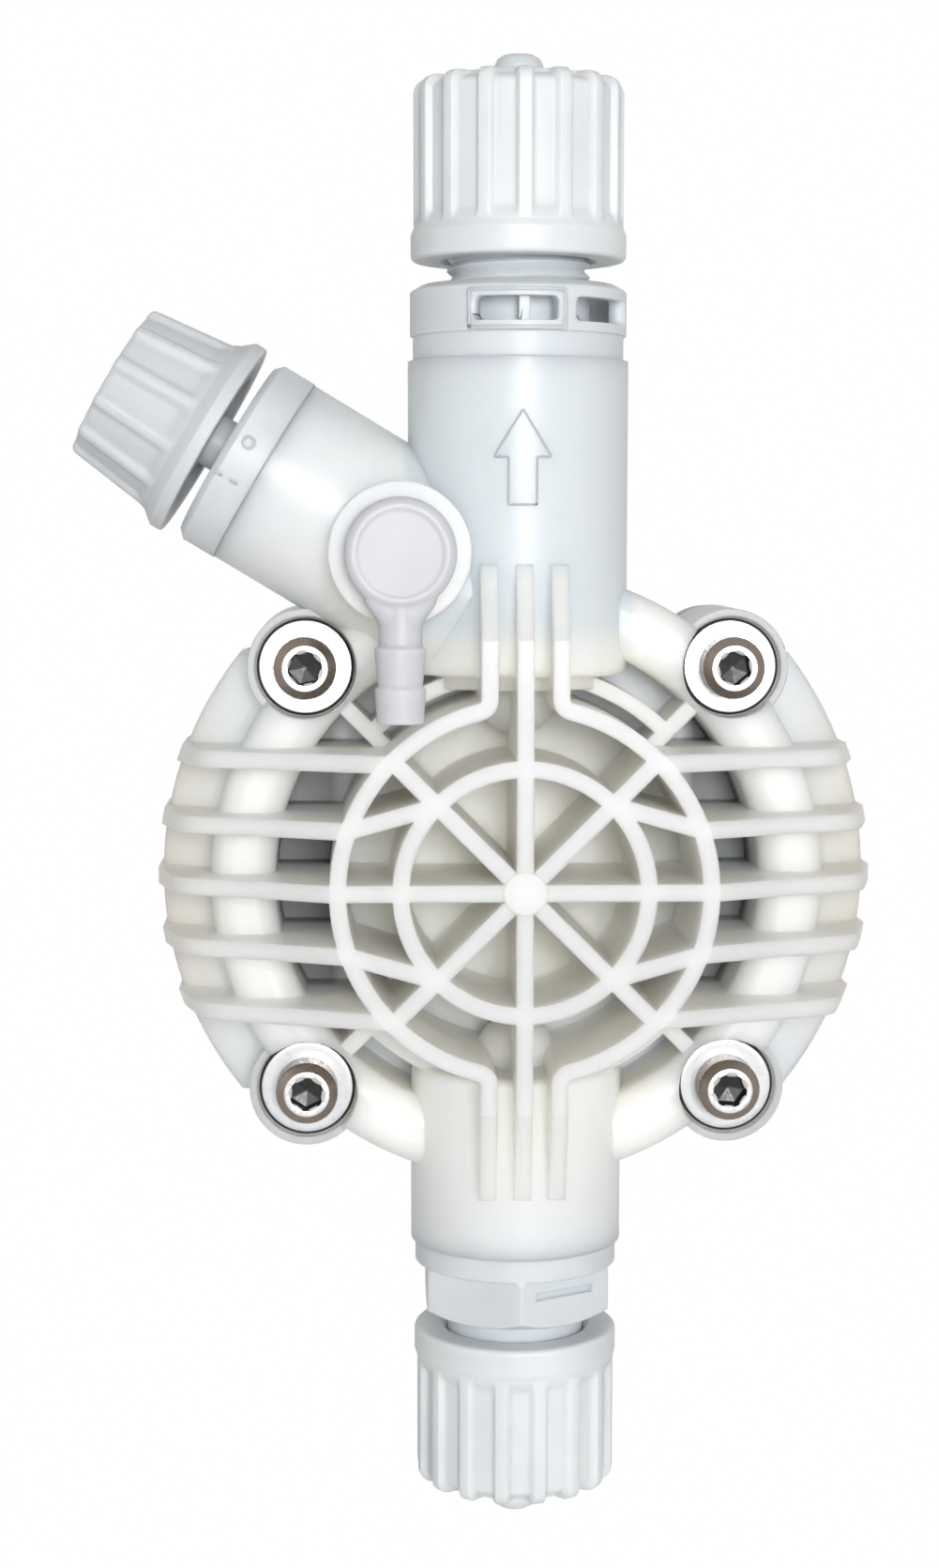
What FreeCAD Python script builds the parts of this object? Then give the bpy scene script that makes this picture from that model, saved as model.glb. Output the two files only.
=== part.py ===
import FreeCAD, Part
import os
import re
import Sketcher

# Liquid end of a diaphragm metering pump, in millimetres.
# The origin is the centre of the backplate's rear face, on the diaphragm's axis.
# +Z points up to the discharge valve, and the ribbed front faces -Y.

os.makedirs("parts", exist_ok=True)
doc = FreeCAD.newDocument("DosingHead")

SIZES = {
    # depths, measured forward from the backplate's rear face
    "plate_thickness": 8.0,
    "flange_thickness": 11.5,
    "valve_axis_depth": 23.5,
    "front_depth": 43.0,
    "boss_depth": 27.6,
    "washer_seat_depth": 25.6,
    # head plate and its raised ring
    "flange_radius": 49.6,
    "flange_half_height": 31.0,
    "ring_inner_radius": 33.6,
    "ring_outer_radius": 42.6,
    "ring_depth": 30.5,
    "ring_foot_depth": 22.0,
    "ring_rounding": 3.4,
    "ring_foot_flare": 1.4,
    "ring_foot_rise": 1.0,
    "ring_disc_margin": 0.2,
    "gap_floor_depth": 15.0,
    "drum_floor_depth": 20.0,
    "drum_floor_slope": 2.0,
    "drum_floor_dome": 1.0,
    # ribbed grille on the front
    "rib_width": 2.3,
    "inner_grille_radius": 16.6,
    "outer_grille_radius": 25.0,
    "mid_rib_height": 8.4,
    "end_rib_height": 17.3,
    "upright_offset": 4.75,
    "upright_bend_radius": 1.65,
    "upright_top_height": 43.6,
    "upright_kink_height": 33.6,
    "upright_foot_end": 42.8,
    "upright_foot_kink": 30.0,
    "upright_end_proud": 0.4,
    "side_rib_rim_radius": 50.15,
    "side_rib_rim_depth": 22.0,
    "side_rib_shoulder_radius": 47.2,
    "side_rib_shoulder_depth": 33.6,
    "side_rib_ring_depth": 39.2,
    "side_rib_rounding": 6.0,
    "hub_boss_radius": 2.95,
    "hub_boss_proud": 0.3,
    "web_depth": 28.5,
    "web_width": 2.2,
    "web_reach": 35.0,
    "curb_radius": 28.8,
    "curb_start_angle": 46.0,
    "curb_sweep_angle": 26.0,
    # screws and bosses
    "bolt_half_spacing": 29.4,
    "boss_radius": 8.0,
    "screw_shank_radius": 2.5,
    "screw_thread_radius": 2.45,
    "screw_tip_chamfer": 0.6,
    "screw_length": 40.0,
    "screw_head_radius": 4.25,
    "screw_head_height": 5.0,
    "screw_head_chamfer": 0.5,
    "screw_hole_clearance": 0.25,
    "socket_across_flats": 4.0,
    "socket_depth": 2.6,
    "washer_radius": 6.7,
    "washer_thickness": 1.2,
    "washer_side_clearance": 0.3,
    "washer_hole_radius": 2.7,
    # discharge (upper) housing, heights above the diaphragm's axis
    "upper_housing_radius": 15.2,
    "upper_housing_bottom": 28.4,
    "upper_housing_top": 71.2,
    "upper_step_radius": 11.4,
    "upper_step_height": 1.9,
    "passage_boss_radius": 5.8,
    "passage_boss_end": 19.8,
    # suction (lower) housing, heights below the diaphragm's axis
    "lower_housing_radius": 14.8,
    "lower_housing_start": 26.5,
    "lower_housing_end": 51.5,
    "corner_rounding": 1.2,
    # flow passages and the pump chamber
    "passage_radius": 2.5,
    "port_height": 24.0,
    "chamber_radius": 27.0,
    "chamber_depth": 3.0,
    # ball valves, one above and one below the chamber
    "valve_bore_radius": 10.5,
    "valve_fit_clearance": 0.1,
    "discharge_seat_top": 50.0,
    "suction_seat_top": -40.0,
    "seat_height": 6.0,
    "seat_bore_radius": 3.0,
    "seat_cone_depth": 1.5,
    "ball_radius": 4.76,
    "ball_seat_clearance": 0.04,
    "ball_lift": 2.0,
    "guide_height": 11.0,
    "guide_inner_radius": 7.2,
    "guide_rib_clearance": 0.15,
    "guide_rib_width": 1.8,
    "guide_rib_bury": 0.5,
    "groove_lip": 0.6,
    "groove_floor": 0.8,
    "groove_side_clearance": 0.1,
    "stop_clearance": 0.09,
    "ring_seal_radius": 8.7,
    "ring_seal_section": 0.95,
    "ring_seal_clearance": 0.05,
    # discharge connector with spanner windows
    "upper_band_radius": 14.5,
    "upper_band_height": 3.4,
    "collar_radius": 14.9,
    "collar_height": 6.9,
    "collar_chamfer": 1.0,
    "collar_top_inset": 1.7,
    "collar_top_drop": 1.0,
    "collar_well_radius": 12.7,
    "collar_floor_height": 1.1,
    "collar_web_width": 1.4,
    "collar_web_drop": 0.6,
    "window_bottom": 1.3,
    "window_height": 3.3,
    "window_half_angle": 22.8,
    "window_step_angle": 55.0,
    "window_turn_angle": 4.2,
    "upper_neck_radius": 9.9,
    "upper_neck_top": 100.0,
    "neck_bore_radius": 4.0,
    "neck_chamfer": 0.8,
    # suction connector with a hexagon
    "lower_band_radius": 14.2,
    "lower_band_height": 3.2,
    "hexagon_across_flats": 25.2,
    "hexagon_height": 7.0,
    "hexagon_chamfer": 1.2,
    "hexagon_slot_length": 9.4,
    "hexagon_slot_height": 1.1,
    "hexagon_slot_depth": 0.8,
    "hexagon_slot_rise": 2.9,
    "hexagon_slot_angle": 30.0,
    "lower_neck_radius": 9.6,
    "lower_neck_end": 79.0,
    # union nuts
    "upper_nut_bottom": 84.8,
    "upper_nut_height": 24.4,
    "upper_nut_radius": 14.4,
    "upper_skirt_radius": 14.8,
    "lower_nut_top": 64.3,
    "lower_nut_height": 22.4,
    "lower_nut_radius": 14.0,
    "lower_skirt_radius": 14.3,
    "skirt_height": 3.6,
    "skirt_step": 0.4,
    "nut_rounding": 2.0,
    "nut_thread_clearance": 0.15,
    "nut_hole_radius": 4.1,
    "nut_cone_radius": 6.4,
    "nut_rim_chamfer": 0.7,
    "nut_plate_thickness": 2.0,
    "nut_cone_height": 5.0,
    "flute_radius": 3.6,
    "flute_depth": 0.9,
    "flute_rise": 2.3,
    "nut_flutes": 16.0,
    # hose nozzles and clamp rings
    "nozzle_flange_radius": 8.6,
    "nozzle_flange_thickness": 1.6,
    "nozzle_tip_radius": 3.35,
    "nozzle_neck_radius": 2.8,
    "nozzle_bore_radius": 1.6,
    "nozzle_tip_length": 1.4,
    "nozzle_barb_slope": 0.4,
    "nozzle_nose_length": 0.5,
    "nozzle_nose_inset": 1.2,
    "nozzle_spigot_length": 3.0,
    "nozzle_fit_clearance": 0.06,
    "upper_nozzle_length": 12.5,
    "lower_nozzle_length": 12.3,
    "clamp_ring_bore": 4.1,
    "clamp_ring_radius": 7.4,
    "clamp_ring_top_radius": 6.0,
    "clamp_ring_height": 3.6,
    "clamp_ring_gap": 0.2,
    # bleed branch, distances along its axis from the discharge axis
    "bleed_height": 35.2,
    "bleed_angle": 31.0,
    "branch_radius": 13.6,
    "branch_root": 8.0,
    "branch_end": 40.8,
    "branch_bore_radius": 6.5,
    "branch_socket_radius": 9.0,
    "branch_socket_start": 33.0,
    "gland_setback": 1.0,
    "bleed_seat_distance": 15.0,
    "bleed_hole_radius": 1.6,
    "collar_ring_radius": 13.75,
    "collar_ring_length": 5.8,
    "stem_radius": 3.75,
    "stem_fit_clearance": 0.05,
    "stem_end": 61.0,
    "stem_piston_radius": 6.3,
    "stem_piston_start": 24.0,
    "stem_piston_end": 31.0,
    "tip_pin_radius": 2.0,
    "tip_pin_length": 4.0,
    "tip_pin_clearance": 0.06,
    "tip_pin_end_gap": 0.2,
    "tip_nose_radius": 0.45,
    "tip_head_radius": 3.2,
    "tip_seat_clearance": 0.04,
    "tip_shoulder_gap": 0.1,
    "bleed_seal_section": 1.1,
    "knob_base": 48.8,
    "knob_end": 64.8,
    "knob_base_radius": 14.4,
    "knob_shoulder_radius": 12.9,
    "knob_end_radius": 11.3,
    "knob_rim_height": 1.6,
    "knob_flare_length": 3.4,
    "knob_rounding": 0.9,
    "knob_well_radius": 9.4,
    "knob_well_depth": 9.0,
    "knob_boss_radius": 5.6,
    "knob_well_draft": 0.4,
    "knob_boss_setback": 0.6,
    "knob_floor_gap": 0.1,
    "knob_flute_radius": 3.0,
    "knob_flute_depth": 1.0,
    "knob_flute_rise": 0.9,
    "knob_flutes": 12.0,
    # hose boss and elbow
    "hose_boss_distance": 19.4,
    "hose_boss_radius": 9.55,
    "hose_boss_depth": 40.2,
    "hose_socket_radius": 5.0,
    "hose_socket_depth": 34.0,
    "hose_port_radius": 1.8,
    "elbow_fit_clearance": 0.05,
    "elbow_face_gap": 0.1,
    "elbow_cap_radius": 7.4,
    "elbow_cap_front": 46.6,
    "elbow_cap_rounding": 1.2,
    "elbow_shoulder_half": 4.9,
    "elbow_shoulder_drop": 6.0,
    "elbow_shoulder_setback": 0.4,
    "elbow_neck_radius": 2.85,
    "elbow_neck_drop": 9.9,
    "elbow_barb_radius": 3.45,
    "elbow_barb_drop": 12.6,
    "elbow_barb_slope": 1.5,
    "elbow_second_drop": 17.9,
    "elbow_end_drop": 22.4,
    "elbow_end_radius": 3.1,
    "elbow_end_chamfer": 0.5,
    "elbow_bore_radius": 1.8,
    "elbow_seal_section": 0.8,
    # diaphragm, its metal core and the backplate behind it
    "diaphragm_radius": 36.0,
    "diaphragm_thickness": 2.0,
    "core_radius": 19.0,
    "core_thickness": 2.0,
    "core_well_radius": 21.0,
    "core_well_floor": 2.5,
    "core_thread_depth": 1.4,
    "core_thread_clearance": 0.05,
    "core_chamfer": 0.6,
    "diaphragm_fold_inner": 19.5,
    "diaphragm_fold_outer": 25.5,
    "diaphragm_fold_depth": 0.7,
    "diaphragm_edge_clearance": 0.1,
    "stud_radius": 4.0,
    "stud_reach": 12.0,
    "stud_neck_radius": 3.4,
    "stud_thread_start": 1.0,
    "stud_chamfer": 0.7,
    "stud_end_gap": 0.1,
    "stud_hole_radius": 5.0,
    "plate_radius": 49.2,
    "plate_half_height": 30.8,
    "plate_lug_inset": 0.3,
    # how far a cutting shape runs past the face that it opens, or a joined one into its neighbour
    "overrun": 1.0,
}

sheet = doc.addObject("Spreadsheet::Sheet", "Sizes")
for row, (name, number) in enumerate(SIZES.items(), 1):
    sheet.set("A%d" % row, name)
    sheet.set("B%d" % row, str(number))
    sheet.setAlias("B%d" % row, name)
doc.recompute()


def bound(text):
    """An expression in which each size's name points at its cell."""
    def cell(match):
        word = match.group(0)
        return "Sizes." + word if word in SIZES else word

    return re.sub(r"[a-z_]+", cell, str(text))


def value(text):
    """The number that an expression gives."""
    return float(sheet.evalExpression(bound(text)))


def place(thing, at=("0", "0", "0"), turn=("0", "0", "1"), angle="0"):
    """Ties a thing's placement to the sheet: a point, and an angle in degrees about an axis."""
    point = "vector(%s; %s; %s)" % tuple(bound(part) for part in at)
    spin = "rotation(vector(%s; %s; %s); %s)" % (turn[0], turn[1], turn[2], bound(angle))
    thing.setExpression("Placement", "placement(%s; %s)" % (point, spin))
    return thing


def box(name, length, width, height, at, turn=("0", "0", "1"), angle="0"):
    """A block from its low corner."""
    thing = doc.addObject("Part::Box", name)
    thing.setExpression("Length", bound(length))
    thing.setExpression("Width", bound(width))
    thing.setExpression("Height", bound(height))
    return place(thing, at, turn, angle)


def rod(name, radius, height, at=("0", "0", "0"), turn=("0", "0", "1"), angle="0", sweep="360"):
    """A cylinder that stands on its centre point and rises along the turned Z axis."""
    thing = doc.addObject("Part::Cylinder", name)
    thing.setExpression("Radius", bound(radius))
    thing.setExpression("Height", bound(height))
    thing.setExpression("Angle", bound(sweep))
    return place(thing, at, turn, angle)


def facing_front(thing, start, x="0", z="0", angle="0"):
    """Turns a thing's local Z to the front, its local Y up, and its local X by an angle towards up."""
    point = "vector(%s; -(%s); %s)" % (bound(x), bound(start), bound(z))
    spin = "rotation(vector(1; 0; 0); 90) * rotation(vector(0; 0; 1); %s)" % bound(angle)
    thing.setExpression("Placement", "placement(%s; %s)" % (point, spin))
    return thing


def forward_rod(name, radius, start, end, x="0", z="0", sweep="360", angle="0"):
    """A cylinder along -Y between two depths, or a wedge of it that starts at an angle from +X."""
    thing = doc.addObject("Part::Cylinder", name)
    thing.setExpression("Radius", bound(radius))
    thing.setExpression("Height", bound("(%s) - (%s)" % (end, start)))
    thing.setExpression("Angle", bound(sweep))
    return facing_front(thing, start, x, z, angle)


def ball(name, radius, at=("0", "0", "0")):
    thing = doc.addObject("Part::Sphere", name)
    thing.setExpression("Radius", bound(radius))
    return place(thing, at)


def seal(name, radius, section, at=("0", "0", "0"), turn=("0", "0", "1"), angle="0"):
    """An O-ring round the turned Z axis."""
    thing = doc.addObject("Part::Torus", name)
    thing.setExpression("Radius1", bound(radius))
    thing.setExpression("Radius2", bound(section))
    return place(thing, at, turn, angle)


def prism(name, across_flats, height, at=("0", "0", "0"), turn=("0", "0", "1"), angle="0"):
    """A hexagonal bar with corners on its X axis before it is turned."""
    thing = doc.addObject("Part::Prism", name)
    thing.Polygon = 6
    thing.setExpression("Circumradius", bound("(%s) / sqrt(3)" % across_flats))
    thing.setExpression("Height", bound(height))
    return place(thing, at, turn, angle)


def fuse(name, things):
    joined = doc.addObject("Part::MultiFuse", name)
    joined.Shapes = things
    joined.Refine = False
    return joined


def built_up(name, groups):
    """Joins groups of solids one group at a time, which keeps each union simple."""
    joined = groups[0]
    for number, group in enumerate(groups[1:], 1):
        joined = fuse("%s%d" % (name, number), [joined, group])
    return joined


def cut(name, base, tool):
    result = doc.addObject("Part::Cut", name)
    result.Base = base
    result.Tool = tool
    result.Refine = False
    return result


def common(name, base, tool):
    result = doc.addObject("Part::Common", name)
    result.Base = base
    result.Tool = tool
    result.Refine = False
    return result


def outline_sketch(body, name, outline, role):
    """A closed outline of straight lines whose corners are tied to the sheet."""
    plane = [item for item in body.Origin.OriginFeatures if item.Role == role][0]
    sketch = body.newObject("Sketcher::SketchObject", name)
    sketch.AttachmentSupport = [(plane, "")]
    sketch.MapMode = "FlatFace"
    corners = [FreeCAD.Vector(value(across), value(along), 0) for across, along in outline]
    count = len(corners)
    for index in range(count):
        sketch.addGeometry(Part.LineSegment(corners[index], corners[(index + 1) % count]), False)
    for index in range(count):
        sketch.addConstraint(Sketcher.Constraint("Coincident", index, 2, (index + 1) % count, 1))
    for index, (across, along) in enumerate(outline):
        corner = corners[index]
        for kind, text, start in (("DistanceX", across, corner.x), ("DistanceY", along, corner.y)):
            number = sketch.addConstraint(Sketcher.Constraint(kind, -1, 1, index, 1, start))
            sketch.setExpression("Constraints[%d]" % number, bound(text))
    return sketch


def turned(name, outline, at=("0", "0", "0"), turn=("0", "0", "1"), angle="0"):
    """A body turned about its own Z axis from an outline of (radius, height) corners."""
    body = doc.addObject("PartDesign::Body", name)
    sketch = outline_sketch(body, name + "Outline", outline, "XZ_Plane")
    feature = body.newObject("PartDesign::Revolution", name + "Turned")
    feature.Profile = sketch
    feature.ReferenceAxis = (sketch, ["V_Axis"])
    feature.Angle = 360
    place(body, at, turn, angle)
    doc.recompute()
    return body


def padded(name, outline, role, thickness, at):
    """A flat outline padded evenly to both sides of its plane."""
    body = doc.addObject("PartDesign::Body", name)
    sketch = outline_sketch(body, name + "Outline", outline, role)
    pad = body.newObject("PartDesign::Pad", name + "Pad")
    pad.Profile = sketch
    pad.SideType = "Symmetric"
    pad.setExpression("Length", bound(thickness))
    place(body, at)
    doc.recompute()
    return body


def rounded(body, radius, circles):
    """Rounds the edges of a turned body that are full circles of a (radius, height)."""
    base = body.Tip
    wanted = [(value(size), value(height)) for size, height in circles]
    names = []
    for index, edge in enumerate(base.Shape.Edges, 1):
        curve = edge.Curve
        if not isinstance(curve, Part.Circle) or not edge.isClosed():
            continue
        for size, height in wanted:
            if abs(curve.Radius - size) < 1e-4 and abs(curve.Center.z - height) < 1e-4:
                names.append("Edge%d" % index)
    feature = body.newObject("PartDesign::Fillet", base.Name + "Round")
    feature.Base = (base, names)
    feature.setExpression("Radius", bound(radius))
    doc.recompute()
    return feature


def fluted(body, name, circle_radius, depth, outer_radius, start, end, count, lean="0"):
    """Cuts round-ended flutes into a turned body, from its end down to a level, evenly round it."""
    distance = "(%s) + (%s) - (%s)" % (outer_radius, circle_radius, depth)
    foot = (distance, "0", start)
    bit = body.newObject("PartDesign::SubtractiveCylinder", name + "Flute")
    bit.setExpression("Radius", bound(circle_radius))
    bit.setExpression("Height", bound("(%s) - (%s)" % (end, start)))
    place(bit, foot, ("0", "1", "0"), lean)
    nose = body.newObject("PartDesign::SubtractiveSphere", name + "Nose")
    nose.setExpression("Radius", bound(circle_radius))
    place(nose, foot)
    doc.recompute()
    pattern = body.newObject("PartDesign::PolarPattern", name + "Flutes")
    pattern.Originals = [bit, nose]
    axis = [item for item in body.Origin.OriginFeatures if item.Role == "Z_Axis"][0]
    pattern.Axis = (axis, [""])
    pattern.Angle = 360
    pattern.setExpression("Occurrences", bound(count))
    body.Tip = pattern
    doc.recompute()
    return pattern


def joined_copies(name, make, corners):
    """Four equal pieces at the screw corners, kept as separate solids in one compound."""
    group = doc.addObject("Part::Compound", name)
    group.Links = [make("%s%d" % (name, index), x, z) for index, (x, z) in enumerate(corners)]
    return group


PIECES = {}


def piece(label, thing):
    """Names a finished sub-part, which is also its file's name."""
    thing.Label = label
    PIECES[label] = thing
    return thing


SIDES = (("-1", "1"), ("1", "1"), ("-1", "-1"), ("1", "-1"))
CORNERS = [("%s * bolt_half_spacing" % x, "%s * bolt_half_spacing" % z) for x, z in SIDES]
VALVE_Y = "-valve_axis_depth"
HEAD_BACK = "plate_thickness"

# Head plate: one turned body with the flange, the rounded ring, the deep gap and the drum floor.
# Its outline is drawn as (radius, depth), and the body is turned about the pump's axis.
rim_front = "plate_thickness + flange_thickness"
plate_outline = [
    ("0", HEAD_BACK),
    ("flange_radius", HEAD_BACK),
    ("flange_radius", rim_front),
    ("ring_outer_radius + ring_foot_flare", "ring_foot_depth"),
    ("ring_outer_radius", "ring_foot_depth + ring_foot_rise"),
    ("ring_outer_radius", "ring_depth"),
    ("ring_inner_radius", "ring_depth"),
    ("ring_inner_radius", "gap_floor_depth"),
    ("outer_grille_radius", "gap_floor_depth"),
    ("outer_grille_radius", "drum_floor_depth - drum_floor_slope"),
    ("inner_grille_radius", "drum_floor_depth"),
    ("0", "drum_floor_depth + drum_floor_dome"),
]
head_plate = turned("HeadPlate", plate_outline, turn=("1", "0", "0"), angle="90")
ring_edges = [("ring_outer_radius", "ring_depth"), ("ring_inner_radius", "ring_depth")]
rounded(head_plate, "ring_rounding", ring_edges)

# The flange is a disc only at the sides: above and below the screws it is cut back to the ring.
ring_disc = forward_rod("RingDisc", "ring_outer_radius + ring_disc_margin", HEAD_BACK, "front_depth")
flange_band = box("FlangeBand", "2 * (flange_radius + overrun)", "front_depth", "2 * flange_half_height",
                  ("-flange_radius - overrun", "-front_depth - plate_thickness", "-flange_half_height"))
trimmed_plate = common("TrimmedPlate", head_plate, fuse("PlateLimit", [ring_disc, flange_band]))
bosses = [forward_rod("Boss%d" % number, "boss_radius", HEAD_BACK, "boss_depth", x, z)
          for number, (x, z) in enumerate(CORNERS)]
bossed_plate = fuse("BossedPlate", [trimmed_plate] + bosses)


def wall_arc(name, radius, start, end, sweep="360", angle="0", width="rib_width", x="0", z="0"):
    """A round wall along -Y, or a stretch of it that starts at an angle from +X towards +Z."""
    outer = forward_rod(name + "Outer", "(%s) + (%s) / 2" % (radius, width), start, end, x, z, sweep, angle)
    inner = forward_rod(name + "Inner", "(%s) - (%s) / 2" % (radius, width), start, end, x, z)
    return cut(name, outer, inner)


# Round walls of the grille. The outer one is open at the top and the bottom, where a small bend
# turns each of its ends into an upright rib.
grille_root = "gap_floor_depth - overrun"
grille = [wall_arc("InnerGrille", "inner_grille_radius", "drum_floor_depth - overrun", "front_depth")]
bend_x = "(upright_offset + upright_bend_radius)"
bend_reach = "(outer_grille_radius + upright_bend_radius)"
bend_z = "sqrt(%s ^ 2 - %s ^ 2)" % (bend_reach, bend_x)
bend_angle = "(acos(%s / %s) / 1 deg)" % (bend_x, bend_reach)
for side, start in (("Right", "-(%s)" % bend_angle), ("Left", "180 - %s" % bend_angle)):
    grille.append(wall_arc("OuterGrille" + side, "outer_grille_radius", grille_root, "front_depth",
                           "2 * %s" % bend_angle, start))
BENDS = (
    ("UpRight", "", "", "180"),
    ("UpLeft", "-", "", "-(%s)" % bend_angle),
    ("DownRight", "", "-", "180 - %s" % bend_angle),
    ("DownLeft", "-", "-", "0"),
)
for corner, x_sign, z_sign, start in BENDS:
    grille.append(wall_arc("Bend" + corner, "upright_bend_radius", grille_root, "front_depth",
                           bend_angle, start, x=x_sign + bend_x, z=z_sign + bend_z))


def upright(name, x, side, start, kink, tip, housing_radius):
    """A vertical rib that keeps the front plane up to a kink and slopes back into a housing beyond it."""
    tip_depth = "valve_axis_depth + %s + upright_end_proud" % housing_radius
    outline = [
        ("-(%s)" % grille_root, "%s(%s)" % (side, start)),
        ("-front_depth", "%s(%s)" % (side, start)),
        ("-front_depth", "%s(%s)" % (side, kink)),
        ("-(%s)" % tip_depth, "%s(%s)" % (side, tip)),
        ("-(%s)" % grille_root, "%s(%s)" % (side, tip)),
    ]
    return padded(name, outline, "YZ_Plane", "rib_width", at=(x, "0", "0"))


for side, kink, tip, housing in (("", "upright_kink_height", "upright_top_height", "upper_housing_radius"),
                                 ("-", "upright_foot_kink", "upright_foot_end", "lower_housing_radius")):
    level = "Down" if side else "Up"
    for label, x, start in (("Left", "-upright_offset", bend_z), ("Middle", "0", "hub_boss_radius / 2"),
                            ("Right", "upright_offset", bend_z)):
        grille.append(upright("Upright" + level + label, x, side, start, kink, tip, housing))

# Side ribs: five level plates that follow one turned envelope over the ring and the rim.
envelope_outline = [
    ("0", "plate_thickness + overrun"),
    ("side_rib_rim_radius", "plate_thickness + overrun"),
    ("side_rib_rim_radius", "side_rib_rim_depth"),
    ("side_rib_shoulder_radius", "side_rib_shoulder_depth"),
    ("ring_inner_radius", "side_rib_ring_depth"),
    ("outer_grille_radius + rib_width / 2", "front_depth"),
    ("0", "front_depth"),
]
envelope = turned("RibEnvelope", envelope_outline, turn=("1", "0", "0"), angle="90")
rounded(envelope, "side_rib_rounding", [("side_rib_shoulder_radius", "side_rib_shoulder_depth")])
SIDE_RIBS = (("Top", "end_rib_height"), ("High", "mid_rib_height"), ("Middle", "0"),
             ("Low", "-mid_rib_height"), ("Bottom", "-end_rib_height"))
slabs = []
for label, level in SIDE_RIBS:
    slab_corner = ("-side_rib_rim_radius - overrun", "-front_depth - overrun", "(%s) - rib_width / 2" % level)
    slabs.append(box("Slab" + label, "2 * (side_rib_rim_radius + overrun)", "front_depth", "rib_width",
                     slab_corner))
side_ribs = common("SideRibs", fuse("Slabs", slabs), envelope)


def bar(name, x_one, z_one, x_two, z_two, start, end, width="rib_width"):
    """A straight rib between two points on the front, from one depth to another."""
    run, rise = "((%s) - (%s))" % (x_two, x_one), "((%s) - (%s))" % (z_two, z_one)
    length = "sqrt(%s ^ 2 + %s ^ 2)" % (run, rise)
    angle = "(atan2(%s; %s) / 1 deg)" % (rise, run)
    outline = [
        ("0", "-(%s) / 2" % width),
        (length, "-(%s) / 2" % width),
        (length, "(%s) / 2" % width),
        ("0", "(%s) / 2" % width),
    ]
    return deep(name, outline, start, end, x_one, z_one, angle)


def deep(name, outline, start, end, x="0", z="0", angle="0"):
    """A flat outline on the front, padded forward from one depth to another and turned about -Y."""
    body = doc.addObject("PartDesign::Body", name)
    sketch = outline_sketch(body, name + "Outline", outline, "XY_Plane")
    pad = body.newObject("PartDesign::Pad", name + "Pad")
    pad.Profile = sketch
    pad.setExpression("Length", bound("(%s) - (%s)" % (end, start)))
    facing_front(body, start, x, z, angle)
    doc.recompute()
    return body


# The middle stretches of the second and fourth ribs are cut away inside the outer wall: there a
# slanted bar runs on to the corner where a diagonal spoke crosses the inner wall.
crossing = "(inner_grille_radius / sqrt(2))"
rib_end_x = "sqrt(outer_grille_radius ^ 2 - mid_rib_height ^ 2)"
rib_windows = []
for label, low in (("High", "mid_rib_height - rib_width"), ("Low", "-mid_rib_height - rib_width")):
    rib_windows.append(box("RibWindow" + label, "2 * (%s)" % rib_end_x, "2 * front_depth", "2 * rib_width",
                           ("-(%s)" % rib_end_x, "-2 * front_depth", low)))
for label, low in (("Top", "end_rib_height - rib_width"), ("Bottom", "-end_rib_height - rib_width")):
    rib_windows.append(box("RibWindow" + label, "2 * end_rib_height", "2 * front_depth", "2 * rib_width",
                           ("-end_rib_height", "-2 * front_depth", low)))
open_side_ribs = cut("OpenSideRibs", side_ribs, fuse("RibWindows", rib_windows))
spokes = [forward_rod("HubBoss", "hub_boss_radius", grille_root, "front_depth + hub_boss_proud")]
webs = []
QUARTERS = (("UpRight", "", ""), ("UpLeft", "-", ""), ("DownRight", "", "-"), ("DownLeft", "-", "-"))
for corner, x_sign, z_sign in QUARTERS:
    wall_x, wall_z = x_sign + "outer_grille_radius / sqrt(2)", z_sign + "outer_grille_radius / sqrt(2)"
    spokes.append(bar("Slant" + corner, x_sign + crossing, z_sign + crossing, x_sign + rib_end_x,
                      z_sign + "mid_rib_height", grille_root, "front_depth"))
    spokes.append(bar("Spoke" + corner, "0", "0", wall_x, wall_z, grille_root, "front_depth"))
    webs.append(bar("Web" + corner, wall_x, wall_z, x_sign + "web_reach / sqrt(2)",
                    z_sign + "web_reach / sqrt(2)", grille_root, "web_depth", "web_width"))
CURBS = (("UpRight", "curb_start_angle"), ("UpLeft", "180 - curb_start_angle - curb_sweep_angle"),
         ("DownLeft", "180 + curb_start_angle"), ("DownRight", "360 - curb_start_angle - curb_sweep_angle"))
for corner, start in CURBS:
    webs.append(wall_arc("Curb" + corner, "curb_radius", grille_root, "web_depth",
                         "curb_sweep_angle", start, "web_width"))

# Valve housings, with the boss of each passage standing out below or above them.
upper_outline = [
    ("0", "upper_housing_bottom"),
    ("upper_housing_radius", "upper_housing_bottom"),
    ("upper_housing_radius", "upper_housing_top"),
    ("0", "upper_housing_top"),
]
upper_housing = turned("UpperHousing", upper_outline, at=("0", VALVE_Y, "0"))
rounded(upper_housing, "corner_rounding", [("upper_housing_radius", "upper_housing_bottom")])
lower_outline = [
    ("0", "-lower_housing_end"),
    ("lower_housing_radius", "-lower_housing_end"),
    ("lower_housing_radius", "-lower_housing_start"),
    ("0", "-lower_housing_start"),
]
lower_housing = turned("LowerHousing", lower_outline, at=("0", VALVE_Y, "0"))
rounded(lower_housing, "corner_rounding", [("lower_housing_radius", "-lower_housing_start")])
passage_low = "passage_boss_end + passage_boss_radius"
upper_side = [
    upper_housing,
    rod("UpperStep", "upper_step_radius", "upper_step_height + overrun",
        ("0", VALVE_Y, "upper_housing_bottom - upper_step_height")),
    rod("UpperPassage", "passage_boss_radius", "upper_housing_bottom + overrun - (%s)" % passage_low,
        ("0", VALVE_Y, passage_low)),
    ball("UpperPassageEnd", "passage_boss_radius", ("0", VALVE_Y, passage_low)),
]
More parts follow.
